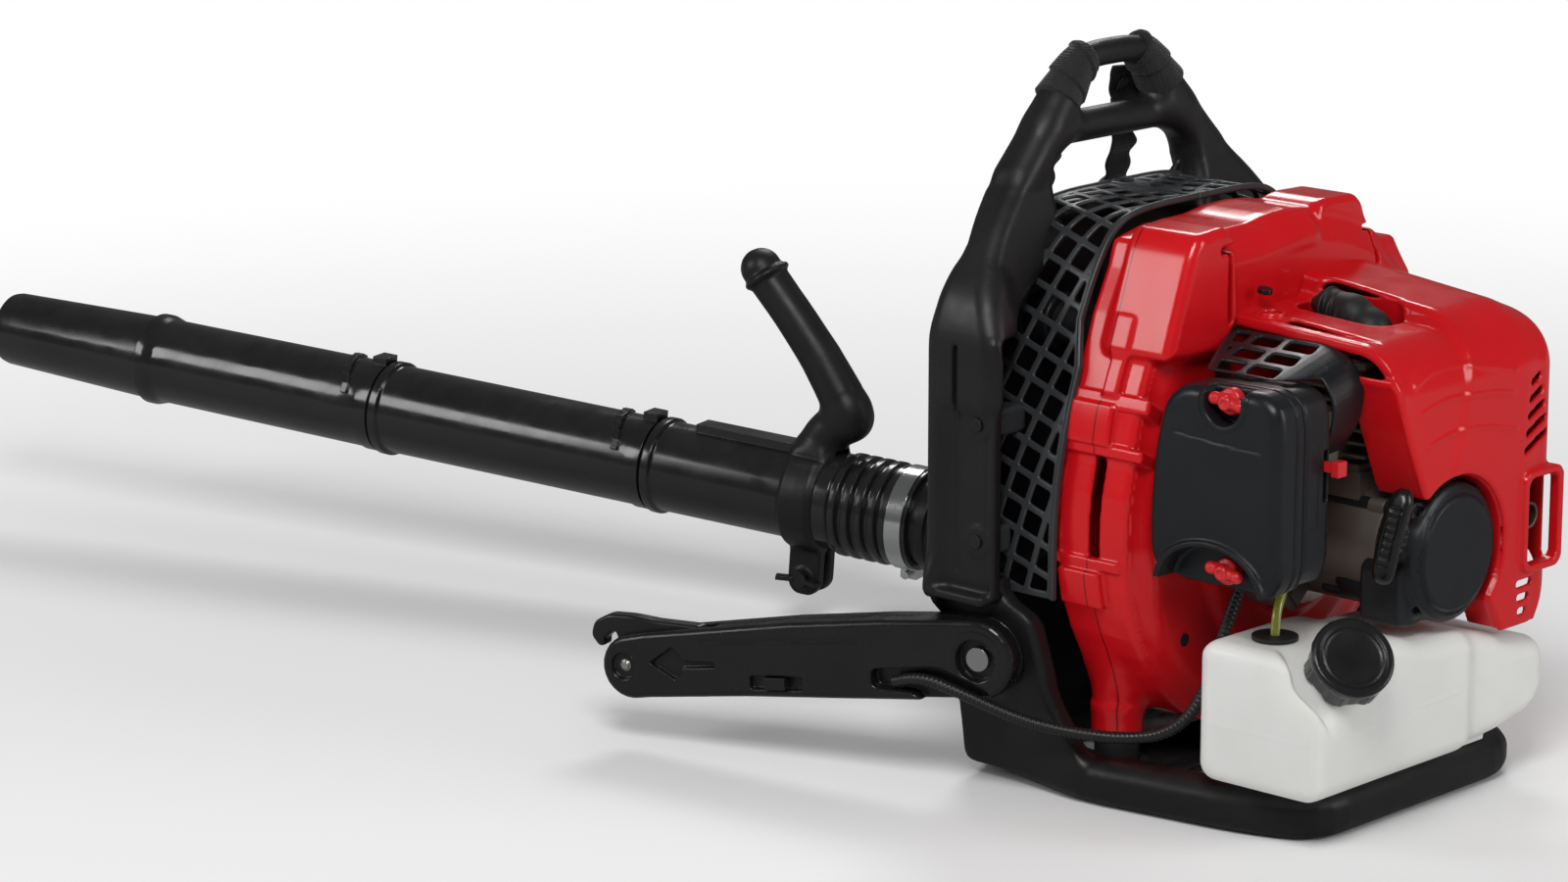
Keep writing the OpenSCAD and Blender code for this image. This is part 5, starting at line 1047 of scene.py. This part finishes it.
def shroud(g):
    """Hood that slopes down to the air cleaner's case."""
    x, y, z = g.x, g.y, g.z
    drop = z + 0.24 * np.clip(-55 - x, 0, 70)
    lean = 0.45 * np.minimum(x + 55, 0)

    def skin_of(i):
        side = outline(y, drop, [(-138, 230), (-138, 313 - i), (-230, 313 - i), (-250 + i, 306),
                                       (-260 + i, 289), (-257 + i, 268), (-246 + i, 250), (-232 + i, 230)], 20)
        front = y - (-148 - i + lean)
        return both(side, front, 6)
    d = both(skin_of(0), slab(x, -118, -53), 5)
    d = less(d, both(skin_of(3), slab(x, -115, -40)))
    d = less(d, both(slab(x, -140, -87.4), z - 297.2), 1.5)
    d = both(d, 246 - z, 1)
    for xc in (-105, -86, -67):
        for y0, y1 in ((-228, -206), (-200, -180), (-174, -160)):
            hole = outline(x, y, [(xc - 6.5, y0), (xc + 6.5, y0 + 2), (xc + 6.5, y1 + 2),
                                  (xc - 6.5, y1)], 3)
            d = less(d, both(both(hole, 288 - z), y + 158 - lean), 0.8)
    return d


sculpt("shroud_shell", (-121, -263, 243), (-50, -145, 316), 1.2, shroud, "cleaner_black",
       nodes=["intake_shroud"])


# ---------------------------------------------------------------- starter
PULL = shift(-32, -273, 190) @ turn("Z", 18) @ turn("Y", -80)


def starter(g):
    x, y, z = g.x, g.y, g.z
    d = disc(x, z, y, SHAFT, 46, -284, -264, 4)
    d = either(d, disc(x, z, y, SHAFT, 41.5, -286, -270, 2), 2)
    d = less(d, both(np.abs(hyp(x - SHAFT[0], z - SHAFT[1]) - 39.6) - 0.9, slab(y, -290, -284.3)), 0.4)
    d = either(d, disc(x, z, y, SHAFT, 37.5, -287.4, -280, 1.2), 1)
    # rope nozzle
    a, b = PULL @ Vector((0, 0, -26)), PULL @ Vector((0, 0, -0.5))
    d = either(d, capsule(g, a, b, 12, 9.5), 9)
    d = less(d, capsule(g, PULL @ Vector((0, 0, -14)), PULL @ Vector((0, 0, 12)), 3.2), 0.8)
    # foot at the lower left and lugs with their screws
    foot = outline(x, z, [(-38, 130), (-38, 168), (-20, 176), (-8, 160), (-6, 132), (-18, 126)], 5)
    d = either(d, both(foot, slab(y, -276, -245), 3), 5)
    d = either(d, capsule(g, (-30, -262, 140), (-22, -222, 150), 6), 4)
    for a in (45, 135, 225, 315):
        t = math.radians(a)
        c, e = ((SHAFT[0] + r * math.cos(t), SHAFT[1] + r * math.sin(t)) for r in (45, 42))
        d = either(d, disc(x, z, y, c, 6.5, -277, -262, 1.5), 3)
        d = less(d, disc(x, z, y, c, 3.6, -280, -275.5), 0.5)
        d = either(d, disc(x, z, y, c, 3.0, -276.6, -270, 0.6), 0.2)
        d = either(d, disc(x, z, y, e, 5, -266, -204), 2)
    # room for the reel
    for radius, lo, hi in ((37, -282, -240), (40, -281, -262)):
        d = less(d, disc(x, z, y, SHAFT, radius, lo, hi))
    return either(d, disc(x, z, y, SHAFT, 6, -284, -268), 1)


sculpt("starter_shell", (-52, -290, 120), (62, -202, 222), 1.15, starter, "cleaner_black",
       nodes=["starter_housing"])


def grip_shape(g):
    x, y, z = g.x, g.y, g.z
    plan = outline(x, y, [(-32, -4), (-26, -7.6), (0, -8.4), (26, -7.6), (32, -4), (32, 4),
                                (26, 7.6), (0, 8.4), (-26, 7.6), (-32, 4)], 5)
    d = both(plan, slab(z, 12, 27 - 0.006 * x * x), 5.5)
    d = either(d, capsule(g, (0, 0, 6), (0, 0, 14), 6.6, 8), 6)
    d = either(d, disc(x, y, z, AXIS, 8.2, 2.6, 6, 1), 1.5)
    pocket = both(outline(x, y, [(-20, -3.6), (20, -3.6), (20, 3.6), (-20, 3.6)], 3), 24.2 - z)
    d = less(d, pocket, 0.8)
    for i in range(-3, 4):
        d = either(d, capsule(g, (i * 5.2, -3.6, 24.2), (i * 5.2, 3.6, 24.2), 1.1), 0.6)
    for s in (-1, 1):
        for i in range(-4, 5):
            d = less(d, capsule(g, (i * 5, s * 8.9, 14), (i * 5, s * 8.9, 25), 1.2), 0.4)
    return less(d, disc(x, y, z, AXIS, 1.95, 0, 12))


sculpt("starter_handle", (-34, -14, 1), (34, 14, 29), 0.8, grip_shape, "satin_black", "pull",
       ["starter_grip"], place=PULL @ turn("Z", -10))


# ---------------------------------------------------------------- tank and cap
NECK = shift(-100, -278, 113) @ turn("Z", -32) @ turn("X", 52)


def local(m, g):
    """Coordinates of the grid's points in the frame m."""
    a = np.array(m.inverted(), np.float32)
    return [a[i, 0] * g.x + a[i, 1] * g.y + a[i, 2] * g.z + a[i, 3] for i in range(3)]


def tank(g):
    x, y, z = g.x, g.y, g.z
    front = outline(x, z, [(-146, 36), (-146, 129), (-50, 128.5), (-26, 120), (22, 118), (60, 108),
                                 (98, 99), (130, 90), (130, 56), (112, 42), (70, 36)], 13)
    plan = outline(x, y, [(-146, -195), (-146, -291.5), (24, -291.5), (38, -283), (130, -281),
                                (130, -195)], 15)
    d = both(front, plan, 13)
    # sagging walls between the corners
    d = d + 0.9 * np.exp(-((x + 60) / 50.0) ** 2 - ((z - 78) / 28.0) ** 2)
    u, v, w = local(NECK, g)
    off = hyp(u, v)
    d = less(d, both(off - 37, 5.2 - w), 9)
    d = either(d, both(off - 20.5, slab(w, -8, 10), 1.5), 5)
    d = either(d, both(off - 18.8, slab(w, -8, 24)), 1)
    # parting line and feet
    seam = np.abs(z - (80 + 0.03 * x))
    d = d - 0.35 * np.exp(-(seam / 0.9) ** 2)
    for xc in (-90, 60):
        d = either(d, both(rect(x, xc - 15, xc + 15, y, -269, -245, 3), slab(z, 30, 44)), 4)
    d = less(d, both(off - 16, slab(w, -12, 40)), 1)
    d = less(d, disc(x, y, z, HOSE_AT, 7.9, 100, 140), 0.6)
    hollow = both(front + 3, plan + 3, 10)
    hollow = less(hollow, both(off - 40, 2.2 - w), 9)
    return less(d, hollow)


sculpt("tank_shell", (-149, -295, 27), (133, -192, 146), 1.5, tank, "white_tank", nodes=["fuel_tank"])


def cap_shape(g):
    x, y, z = g.x, g.y, g.z
    a = np.arctan2(y, x)
    lobes = np.clip(np.cos(6 * a) * 1.6, -1, 1)
    r = 25.4 + 1.3 * lobes
    skirt = both((hyp(x, y) - r) * 0.95, slab(z, 6.5, 24), 1.5)
    d = either(skirt, disc(x, y, z, AXIS, 26.9, 22.5, 29.1, 2), 1.2)
    d = less(d, disc(x, y, z, AXIS, 21.5, 28.1, 33, 0.8), 0.8)
    d = either(d, both(np.abs(hyp(x, y) - 19) - 0.7, slab(z, 27, 28.7), 0.3), 0.4)
    for i in range(24):
        t = math.radians(15 * i + 7.5)
        flute = (26.9 * math.cos(t), 26.9 * math.sin(t))
        d = less(d, capsule(g, (*flute, 5), (*flute, 21), 0.9), 0.3)
    return less(d, disc(x, y, z, AXIS, 19.6, 0, 25.2))


sculpt("fuel_cap_shell", (-29, -29, 5), (29, 29, 31), 0.75, cap_shape, "satin_black", "cap", ["fuel_cap"],
       place=NECK)


# ---------------------------------------------------------------- throttle arm
def arc(cu, cv, r, lo, hi):
    """Points every 15 degrees round (cu, cv)."""
    return [(cu + r * math.cos(math.radians(a)), cv + r * math.sin(math.radians(a)))
            for a in range(lo, hi, 15)]


ARM_OUT = (arc(0, 0, 27, 90, 271) + [(28, -28), (100, -29), (175, -30), (250, -33)]
           + arc(262, -12, 22, -90, 76) + [(250, 12), (215, 15), (139, 22), (66, 26)])
PIN = (267, -11)


def arm_shape(g, outer):
    u, v, w = g.x, g.y, g.z
    side = outline(u, v, ARM_OUT)
    d = both(side, slab(w, -15, 15), 4.5)
    pivot = hyp(u, v)
    if outer:
        # thicker boss round the pivot, stepped down to the blade
        step = outline(u, v, [(-40, -60), (-40, 60), (96, 60), (78, 10), (100, -4), (96, -60)], 8)
        d = less(d, both(both(-step, side + 60), 12.4 - w), 2)
        d = less(d, both(pivot - 14, 7 - w), 1.2)
        d = either(d, both(np.abs(pivot - 17.5) - 2.0, slab(w, 4, 15), 1), 1.5)
        d = less(d, both(hyp(u - PIN[0], v - PIN[1]) - 9, 11.2 - w), 0.8)
        # arrow-shaped relief with its slot
        arrow = outline(u, v, [(246, -8), (228, 3), (222, -2), (222, -6), (196, -7), (196, -10),
                               (222, -11), (222, -15), (228, -19)])
        d = less(d, both(arrow, 11.0 - w), 0.7)
        # switch window
        win = rect(u, 130.5, 169.5, v, -24, -15, 1.5)
        d = less(d, both(win, 10 - w), 0.8)
        d = either(d, both(both(np.abs(win - 1.4) - 1.0, slab(w, 9, 13.2)), win - 2.6), 0.6)
        # channel for the conduit
        chan = outline(u, v, [(-10, -44), (-8, -20), (28, -5), (78, -7.5), (78, -20), (46, -23),
                                    (30, -44)], 6)
        d = less(d, both(chan, 5.2 - w), 1.5)
        crease = np.abs(v - (14 - 0.03 * u))
        d = d + 0.7 * np.exp(-(crease / 1.4) ** 2) * ((u > 84) & (u < 205) & (w > 11))
    else:
        for s in (60, 120, 180):
            d = less(d, both(rect(u, s, s + 44, v, -18, 10, 6), w + 12.5), 1)
    d = less(d, both(rect(w, -6.6, 6.6, u, 198, 330), slab(v, -24, 60)))
    d = both(d, 0.12 - w if outer else w + 0.12)
    return less(d, both(pivot - 5.2, slab(w, -20, 20)))


for label, outer in (("outer", True), ("inner", False)):
    sculpt("arm_blade_" + label, (-30, -38, -1 if outer else -17), (288, 30, 17 if outer else 1), 1.15,
           lambda g, outer=outer: arm_shape(g, outer), "satin_black", "arm", ["arm_shell_" + label],
           place=ARM)


def lever_shape(g):
    u, v, w = g.x, g.y, g.z
    side = outline(u, v, [(208, 4), (208, 16), (244, 19), (262, 22), (280, 23), (292, 18), (296, 8),
                                (290, 0), (285, 1), (285, 6), (276, 12), (273, -6), (267, -12),
                                (260, -8), (252, 5)], 4)
    d = both(side, slab(w, -6, 6), 2.5)
    d = either(d, both(hyp(u - PIN[0], v - PIN[1]) - 7.5, slab(w, -6, 6), 1), 2)
    for i in range(5):
        groove = (214 + i * 9, 19.3 + i * 0.8)
        d = less(d, capsule(g, (*groove, -8), (*groove, 8), 1.3), 0.5)
    return d


sculpt("lever_blade", (204, -21, -8), (300, 26, 8), 0.9, lever_shape, "satin_black", "trigger",
       ["throttle_lever"], place=ARM)


def lever_pin(g):
    off = hyp(g.x - PIN[0], g.y - PIN[1])
    return either(both(off - 3, slab(g.z, -14, 12.6), 0.6), both(off - 4.2, slab(g.z, 10.4, 11.6), 0.4), 0.1)


sculpt("lever_pin", (262, -17, -15), (272, -5, 13.5), 0.5, lever_pin, "bright_alloy", "trigger",
       place=ARM)


# ---------------------------------------------------------------- control handle
BOLT = (60, 338)
GRIP_LOW = np.array((0, -68.0, 314.0))
GRIP_DIR = np.array((0, -math.sin(math.radians(50)), math.cos(math.radians(50))))


def handle_shape(g):
    x, y, z = g.x, g.y, g.z
    r = hyp(x, y)
    d = both(r - 40 + 0.02 * np.abs(z - 338), slab(z, 325, 351), 4)
    d = either(d, both(r - 37.5, slab(z, 322.5, 352), 2), 2)
    # saddle that grows into the neck
    neck = chaikin([(0, -36, 337), (0, -48, 333), (0, -60, 322), (0, -70, 314)])
    d = either(d, rod(g, neck, np.linspace(18.5, 14.8, len(neck))), 13)
    ts = np.linspace(-4, 126, 14)
    lift = np.interp(ts, [-4, 18, 48, 82, 112, 126], [-2, 1.6, 3.2, 2.2, 0, -1])
    size = np.interp(ts, [-4, 10, 30, 60, 95, 126], [16.4, 17.2, 16.2, 15.2, 14.8, 15.2])
    back = np.array((0, -0.64, -0.77))
    grip = [GRIP_LOW + GRIP_DIR * t + back * up for t, up in zip(ts, lift)]
    d = either(d, rod(g, grip, size), 6)
    # flared lip and the rounded end
    p = GRIP_LOW + GRIP_DIR * 119
    axial = sum((w - c) * e for w, c, e in zip((x, y, z), p, GRIP_DIR))
    off = np.sqrt(np.maximum((x - p[0]) ** 2 + (y - p[1]) ** 2 + (z - p[2]) ** 2 - axial ** 2, 0))
    d = either(d, both(off - 18.0, slab(axial, -2.2, 2.2), 2), 2.5)
    # parting line along the grip
    d = d + 0.45 * np.exp(-(x / 0.9) ** 2) * (y < -52)
    # flats on the neck
    d = less(d, both(rect(z, 326, 350, y, -46, -34), 21 - np.abs(x)), 3)
    # ears with their bolt hole
    for lo_x in (-13, 3):
        ear = outline(y, z, [(30, 325), (66, 325), (73, 331), (73, 345), (66, 351), (30, 351)], 8)
        d = either(d, both(ear, slab(x, lo_x, lo_x + 10), 2), 3)
        boss = (lo_x - 1.2, lo_x + 10) if lo_x < 0 else (lo_x, lo_x + 11)
        d = either(d, disc(y, z, x, BOLT, 9, *boss, 1), 1)
    d = less(d, both(slab(x, -3, 3), 30 - y), 0.5)
    d = less(d, disc(y, z, x, BOLT, 3.2, -20, 20))
    d = less(d, both(r - 34.3, slab(z, 300, 372)), 0.6)
    return less(d, both(rect(x, -9.6, 9.6, y, -39.8, -30), slab(z, 300, 372)), 0.5)


sculpt("control_grip", (-44, -196, 296), (44, 78, 424), 1.5, handle_shape, "black_moulding", "handle",
       ["control_handle"], place=PIPE)


# ---------------------------------------------------------------- cords
def sampled(points, step):
    """Points at even steps along a path, and the distance along it."""
    seg = np.linalg.norm(np.diff(points, axis=0), axis=1)
    s = np.concatenate([[0], np.cumsum(seg)])
    n = max(2, int(round(s[-1] / step)) + 1)
    t = np.linspace(0, s[-1], n)
    return np.stack([np.interp(t, s, points[:, k]) for k in range(3)], 1), t


def ringed(name, verts, sides, material, flip=False):
    """Closed skin over rings of vertices, in millimetres; flip turns its faces over."""
    last = len(verts) - sides
    faces = []
    for low in range(0, last, sides):
        for j in range(sides):
            k, high = (j + 1) % sides, low + sides
            faces.append((low + j, low + k, high + k, high + j) if flip
                         else (low + j, high + j, high + k, low + k))
    ends = [list(range(sides)), list(range(last, last + sides))]
    ends[0 if flip else 1].reverse()
    mesh = bpy.data.meshes.new(name)
    mesh.from_pydata([tuple(v * MM) for v in verts], [], faces + ends)
    for f in mesh.polygons:
        f.use_smooth = len(f.vertices) == 4
    mesh.materials.append(M[material])
    obj = bpy.data.objects.new(name, mesh)
    SCENE.collection.objects.link(obj)
    return obj


def tube(name, points, radii, sides, material):
    """Closed tube round a path; radii is one value a ring, or rings by sides."""
    points = np.asarray(points, float)
    tangent = np.gradient(points, axis=0)
    tangent /= np.linalg.norm(tangent, axis=1)[:, None]
    up = np.array((0.0, 0, 1)) if abs(tangent[0][2]) < 0.9 else np.array((1.0, 0, 0))
    side = np.cross(tangent[0], up)
    side /= np.linalg.norm(side)
    frames = []
    for t in tangent:
        side = side - t * (side @ t)
        side /= np.linalg.norm(side)
        frames.append((side, np.cross(t, side)))
    radii = np.asarray(radii, float)
    if radii.ndim == 1:
        radii = np.repeat(radii[:, None], sides, 1)
    a = np.linspace(0, 2 * math.pi, sides, endpoint=False)
    rings = np.array([p + radii[i][:, None] * (np.cos(a)[:, None] * f[0] + np.sin(a)[:, None] * f[1])
                      for i, (p, f) in enumerate(zip(points, frames))])
    return ringed(name, rings.reshape(-1, 3), sides, material)


CONDUIT = [[-197, 13, 71.5], [-193.5, 0, 75.5], [-190.5, -13, 76], [-187, -27, 72.5], [-182.5, -41, 68],
           [-176, -56, 62], [-168, -74, 56], [-159, -94, 52], [-149, -114, 50], [-140, -134, 50],
           [-131, -157, 54], [-124, -174, 66], [-116, -183, 86], [-106, -185, 112], [-96, -188, 138],
           [-86, -192, 162], [-80, -192, 190], [-78, -190, 229.7]]
line = chaikin(CONDUIT)
fine, t = sampled(line, 0.8)
rib = 4.2 - 0.75 * (0.5 - 0.5 * np.cos(2 * math.pi * t / 3.2)) ** 2
conduit = tube("throttle_conduit_hose", fine, rib, 14, "conduit")
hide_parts("throttle_conduit")
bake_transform(conduit)

FUEL = [[*HOSE_AT, z] for z in (50, 72, 108, 138)] + [
        [-103, -230, 149], [-92, -226, 158], [-80, -220, 168], [-75, -212, 188], [-72, -205, 208], [-71, -205, 223.7]]
line = chaikin(FUEL)
fine, t = sampled(line, 2.0)
hose = tube("fuel_hose", fine, np.full(len(fine), 3.0), 16, "fuel_hose")
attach(hose, "machine")
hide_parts("fuel_line")


def pickup_shape(g):
    """Felt filter with its grooves."""
    grooves = both(np.abs(hyp(g.x - HOSE_AT[0], g.y - HOSE_AT[1]) - 8.3) - 0.8,
                   np.abs(((g.z - 54) % 4) - 2) - 0.8, 0.3)
    return less(disc(g.x, g.y, g.z, HOSE_AT, 8, 50, 74, 2), grooves, 0.3)


pickup = sculpt("pickup_filter", (-118, -242, 48), (-98, -222, 77), 1.0, pickup_shape, "filter_felt")

a, b = PULL @ Vector((0, 0, -7)), PULL @ Vector((0, 0, 12))
path = np.array([a.lerp(b, k / 24) for k in range(25)])
twist = 1.75 + 0.16 * np.cos(3 * (np.linspace(0, 2 * math.pi, 18, endpoint=False)[None, :]
                                  + np.linspace(0, 5, 25)[:, None]))
rope = tube("pull_rope", path, twist, 18, "rope_white")
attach(rope, "pull")
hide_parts("starter_rope")


# ---------------------------------------------------------------- harness
def puff(points, quads, pins, pressure=4.0):
    """Cloth blown up a little between its pinned vertices; the new places, in metres."""
    mesh = bpy.data.meshes.new("puff")
    mesh.from_pydata([tuple(p) for p in points], [], [tuple(int(i) for i in q) for q in quads])
    obj = bpy.data.objects.new("puff", mesh)
    SCENE.collection.objects.link(obj)
    group = obj.vertex_groups.new(name="held")
    group.add([int(i) for i in pins], 1.0, "REPLACE")
    cloth = obj.modifiers.new("Cloth", "CLOTH")
    cloth.settings.quality = 6
    cloth.settings.mass = 0.3
    cloth.settings.tension_stiffness = 12
    cloth.settings.compression_stiffness = 12
    cloth.settings.bending_stiffness = 0.6
    cloth.settings.use_pressure = True
    cloth.settings.uniform_pressure_force = pressure
    cloth.settings.effector_weights.gravity = 0
    cloth.settings.vertex_group_mass = "held"
    cloth.point_cache.frame_start, cloth.point_cache.frame_end = 1, 20
    for f in range(1, 21):
        SCENE.frame_set(f)
    held = obj.evaluated_get(bpy.context.evaluated_depsgraph_get())
    out = np.zeros(len(mesh.vertices) * 3, np.float32)
    held.data.vertices.foreach_get("co", out)
    SCENE.frame_set(1)
    bpy.data.objects.remove(obj)
    bpy.data.meshes.remove(mesh)
    return out.reshape(-1, 3)


def skinned(lo, hi, step, shape):
    grid = Grid(lo, hi, step)
    return skin(np.broadcast_to(shape(grid), grid.shape).copy(), grid)


PAD_PLAN = eased([(-106, 132), (-106, 340), (106, 340), (106, 132)], 26)


def back_pad():
    def start(g):
        plan = outline(g.x, g.z, PAD_PLAN)
        crown = 16.5 - 3.0 * (np.abs(g.x) / 106.0) ** 3 - 2.5 * (np.abs(g.z - 236) / 104.0) ** 3
        return both(plan, slab(g.y, 0.8, crown), 5.5)
    points, _, quads = skinned((-112, -3, 124), (112, 24, 348), 5.0, start)
    points = points * MM
    new = puff(points, quads, np.where(points[:, 1] < 0.0025)[0])
    move = new - points
    size = np.linalg.norm(move, axis=1, keepdims=True)
    points = points + move * np.minimum(1, 0.006 / np.maximum(size, 1e-9))
    obj = mesh_object("back_cushion", points, quads, None, "pad_fabric")
    sub = obj.modifiers.new("smooth", "SUBSURF")
    sub.levels = sub.render_levels = 2
    held = obj.evaluated_get(bpy.context.evaluated_depsgraph_get())
    mesh = bpy.data.meshes.new_from_object(held)
    obj.modifiers.clear()
    obj.data = mesh
    co = np.zeros(len(mesh.vertices) * 3, np.float32)
    mesh.vertices.foreach_get("co", co)
    co = co.reshape(-1, 3) / MM
    front = np.clip((co[:, 1] - 5) / 6, 0, 1)
    sunk = np.zeros(len(co))
    for z in (182, 236, 290):
        sunk = np.maximum(sunk, 5.5 * np.exp(-((co[:, 2] - z) / 4.2) ** 2))
    sunk = np.maximum(sunk, 6.0 * np.exp(-(co[:, 0] / 5.0) ** 2))
    rim = outline(co[:, 0], co[:, 2], PAD_PLAN)
    sunk = np.maximum(sunk, 4.5 * np.exp(-((rim + 11) / 2.6) ** 2))
    co[:, 1] = np.clip(co[:, 1] - sunk * front, 0.4, 20.0)
    mesh.vertices.foreach_set("co", (co * MM).ravel())
    mesh.update()
    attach(obj, "machine")
    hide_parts("back_pad")


back_pad()

for s, label in ((-1, "left"), (1, "right")):
    low, high = (s * 62, 177), (s * 40, 355)

    def strap(g, low=low, high=high):
        ex, ez = high[0] - low[0], high[1] - low[1]
        k = math.hypot(ex, ez)
        ex, ez = ex / k, ez / k
        along = (g.x - low[0]) * ex + (g.z - low[1]) * ez
        across = (g.x - low[0]) * ez - (g.z - low[1]) * ex
        w = 26.5 - 3 * np.clip((along - 120) / 60, 0, 1) + 0.7 * np.sin(along / 13.0)
        t = np.clip(along, 0, k)
        plan = hyp(along - t, across) - w
        thick = 10.4 - 2.2 * (np.clip(np.abs(across) / 26, 0, 1)) ** 2
        d = both(plan, slab(g.y, 20.9, 20.9 + thick), 4)
        seam = np.exp(-((plan + 5.5) / 1.2) ** 2) * 1.1
        quilt = np.exp(-(((along % 44) - 22) / 2.4) ** 2) * 1.6 * (plan < -5)
        return d + seam + quilt * (g.y > 26)
    obj = sculpt("shoulder_pad_" + label, (-94, 18, 146), (94, 34, 386), 1.5, strap, "pad_fabric",
                 nodes=["shoulder_strap_" + label])


def ribbon(name, centre, side, width, thick, ruffle):
    """Flat strap along a path: side is the way across it, ruffle how much it waves."""
    c, t = sampled(np.array(centre, float), 1.5)
    side = np.array(side, float)
    tangent = np.gradient(c, axis=0)
    tangent /= np.linalg.norm(tangent, axis=1)[:, None]
    normal = np.cross(tangent, side)
    normal /= np.linalg.norm(normal, axis=1)[:, None]
    u = np.linspace(-1, 1, 13)
    face = [(a * width / 2, thick / 2 * (1 - 0.35 * abs(a) ** 6) + 0.12 * math.cos(a * 18)) for a in u]
    back = [(a * width / 2, -thick / 2 * (1 - 0.35 * abs(a) ** 6) - 0.12 * math.cos(a * 18)) for a in u]
    prof = face + back[::-1]
    verts = []
    for i, p in enumerate(c):
        wave = 1 + ruffle * 0.10 * math.sin(t[i] / 2.4)
        off = ruffle * 2.0 * math.sin(t[i] / 3.4) * math.sin(math.pi * i / (len(c) - 1)) ** 0.5
        verts += [p + side * (q[0] * wave) + normal[i] * (q[1] + off) for q in prof]
    obj = ringed(name, verts, len(prof), "webbing", flip=True)
    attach(obj, "machine")


def handle_wrap(s, label):
    """Strap wound twice round the handle."""
    path, t = sampled(chaikin([(s * 26, -2, 469.2), (s * 33, -2, 466.4), (s * 42, -2, 457.4),
                               (s * 55, -2, 442.6)], 3), 0.5)
    a = np.linspace(0, 2 * math.pi, 72, endpoint=False)
    lay = (t[:, None] / 19.0 + a[None, :] / (2 * math.pi)) % 1.0
    edge = np.clip(np.minimum(t, t[-1] - t) / 1.2, 0, 1)[:, None]
    core = 9.9 + 3.6 * np.clip((np.abs(path[:, :1]) - 24) / 30, 0, 1)
    radius = core + edge * (1.5 + 1.9 * lay + 0.16 * np.sin(t[:, None] * 2 * math.pi / 1.9)
                            + 0.10 * np.sin(a[None, :] * 60))
    obj = tube("handle_wrap_" + label, path, radius, 72, "webbing")
    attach(obj, "machine")
    return obj


# webbing on each side: name, path with x away from the middle, way across, width, thickness, ruffle
WEBBING = (
    ("strap_tail_", [(44, 11.5, 447), (42, 17.5, 441), (40, 18.5, 425), (40, 18.8, 405), (40, 20.5, 390),
                     (40, 24, 383), (40, 26, 372)], (1, 0, 0), 24, 1.8, 1.0),
    ("flap_", [(36, 12.5, 455), (36, 16, 446), (37, 15, 436), (36, 13, 428)], (0.9, -0.4, 0), 22, 2.0, 0.5),
    ("lower_strap_", [(62, 26.5, 164), (62, 27.5, 150), (62, 25.8, 120), (62, 25.2, 90), (62, 24.6, 64),
                      (62, 23.4, 58), (62, 21.6, 62)], (1, 0, 0), 25, 1.8, 0.15))

for s, label in ((-1, "left"), (1, "right")):
    handle_wrap(s, label)
    for name, points, across, width, thick, ruffle in WEBBING:
        ribbon(name + label, chaikin([(s * x, y, z) for x, y, z in points], 2), across, width, thick, ruffle)
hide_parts("harness_webbing")


# ---------------------------------------------------------------- plug boot
def boot(g):
    d = rod(g, [(12, -214, 292), (12, -212, 308), (12, -198, 317), (12.5, -180, 321)],
            [14, 13.5, 12, 10.5], 5)
    for i in range(5):
        d = either(d, both(np.abs(g.y + 206 - i * 6.5) - 1.1,
                           hyp(g.x - 12, g.z - 310 - i * 2.2) - 14.2, 0.8), 1)
    d = either(d, capsule(g, (12.5, -180, 321), (13, -170, 320), 5.5), 3)
    return either(d, both(hyp(g.x - 12, g.y + 214) - 12.5, slab(g.z, BOOT_FOOT, 300), 1), 3)


BOOT_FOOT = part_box("plug_boot")[0][2] / MM
sculpt("boot_shell", (-6, -232, BOOT_FOOT - 1), (30, -162, 336), 1.1, boot, "rubber",
       nodes=["plug_boot"])

for name in NODE_LOOK:
    dress(name)
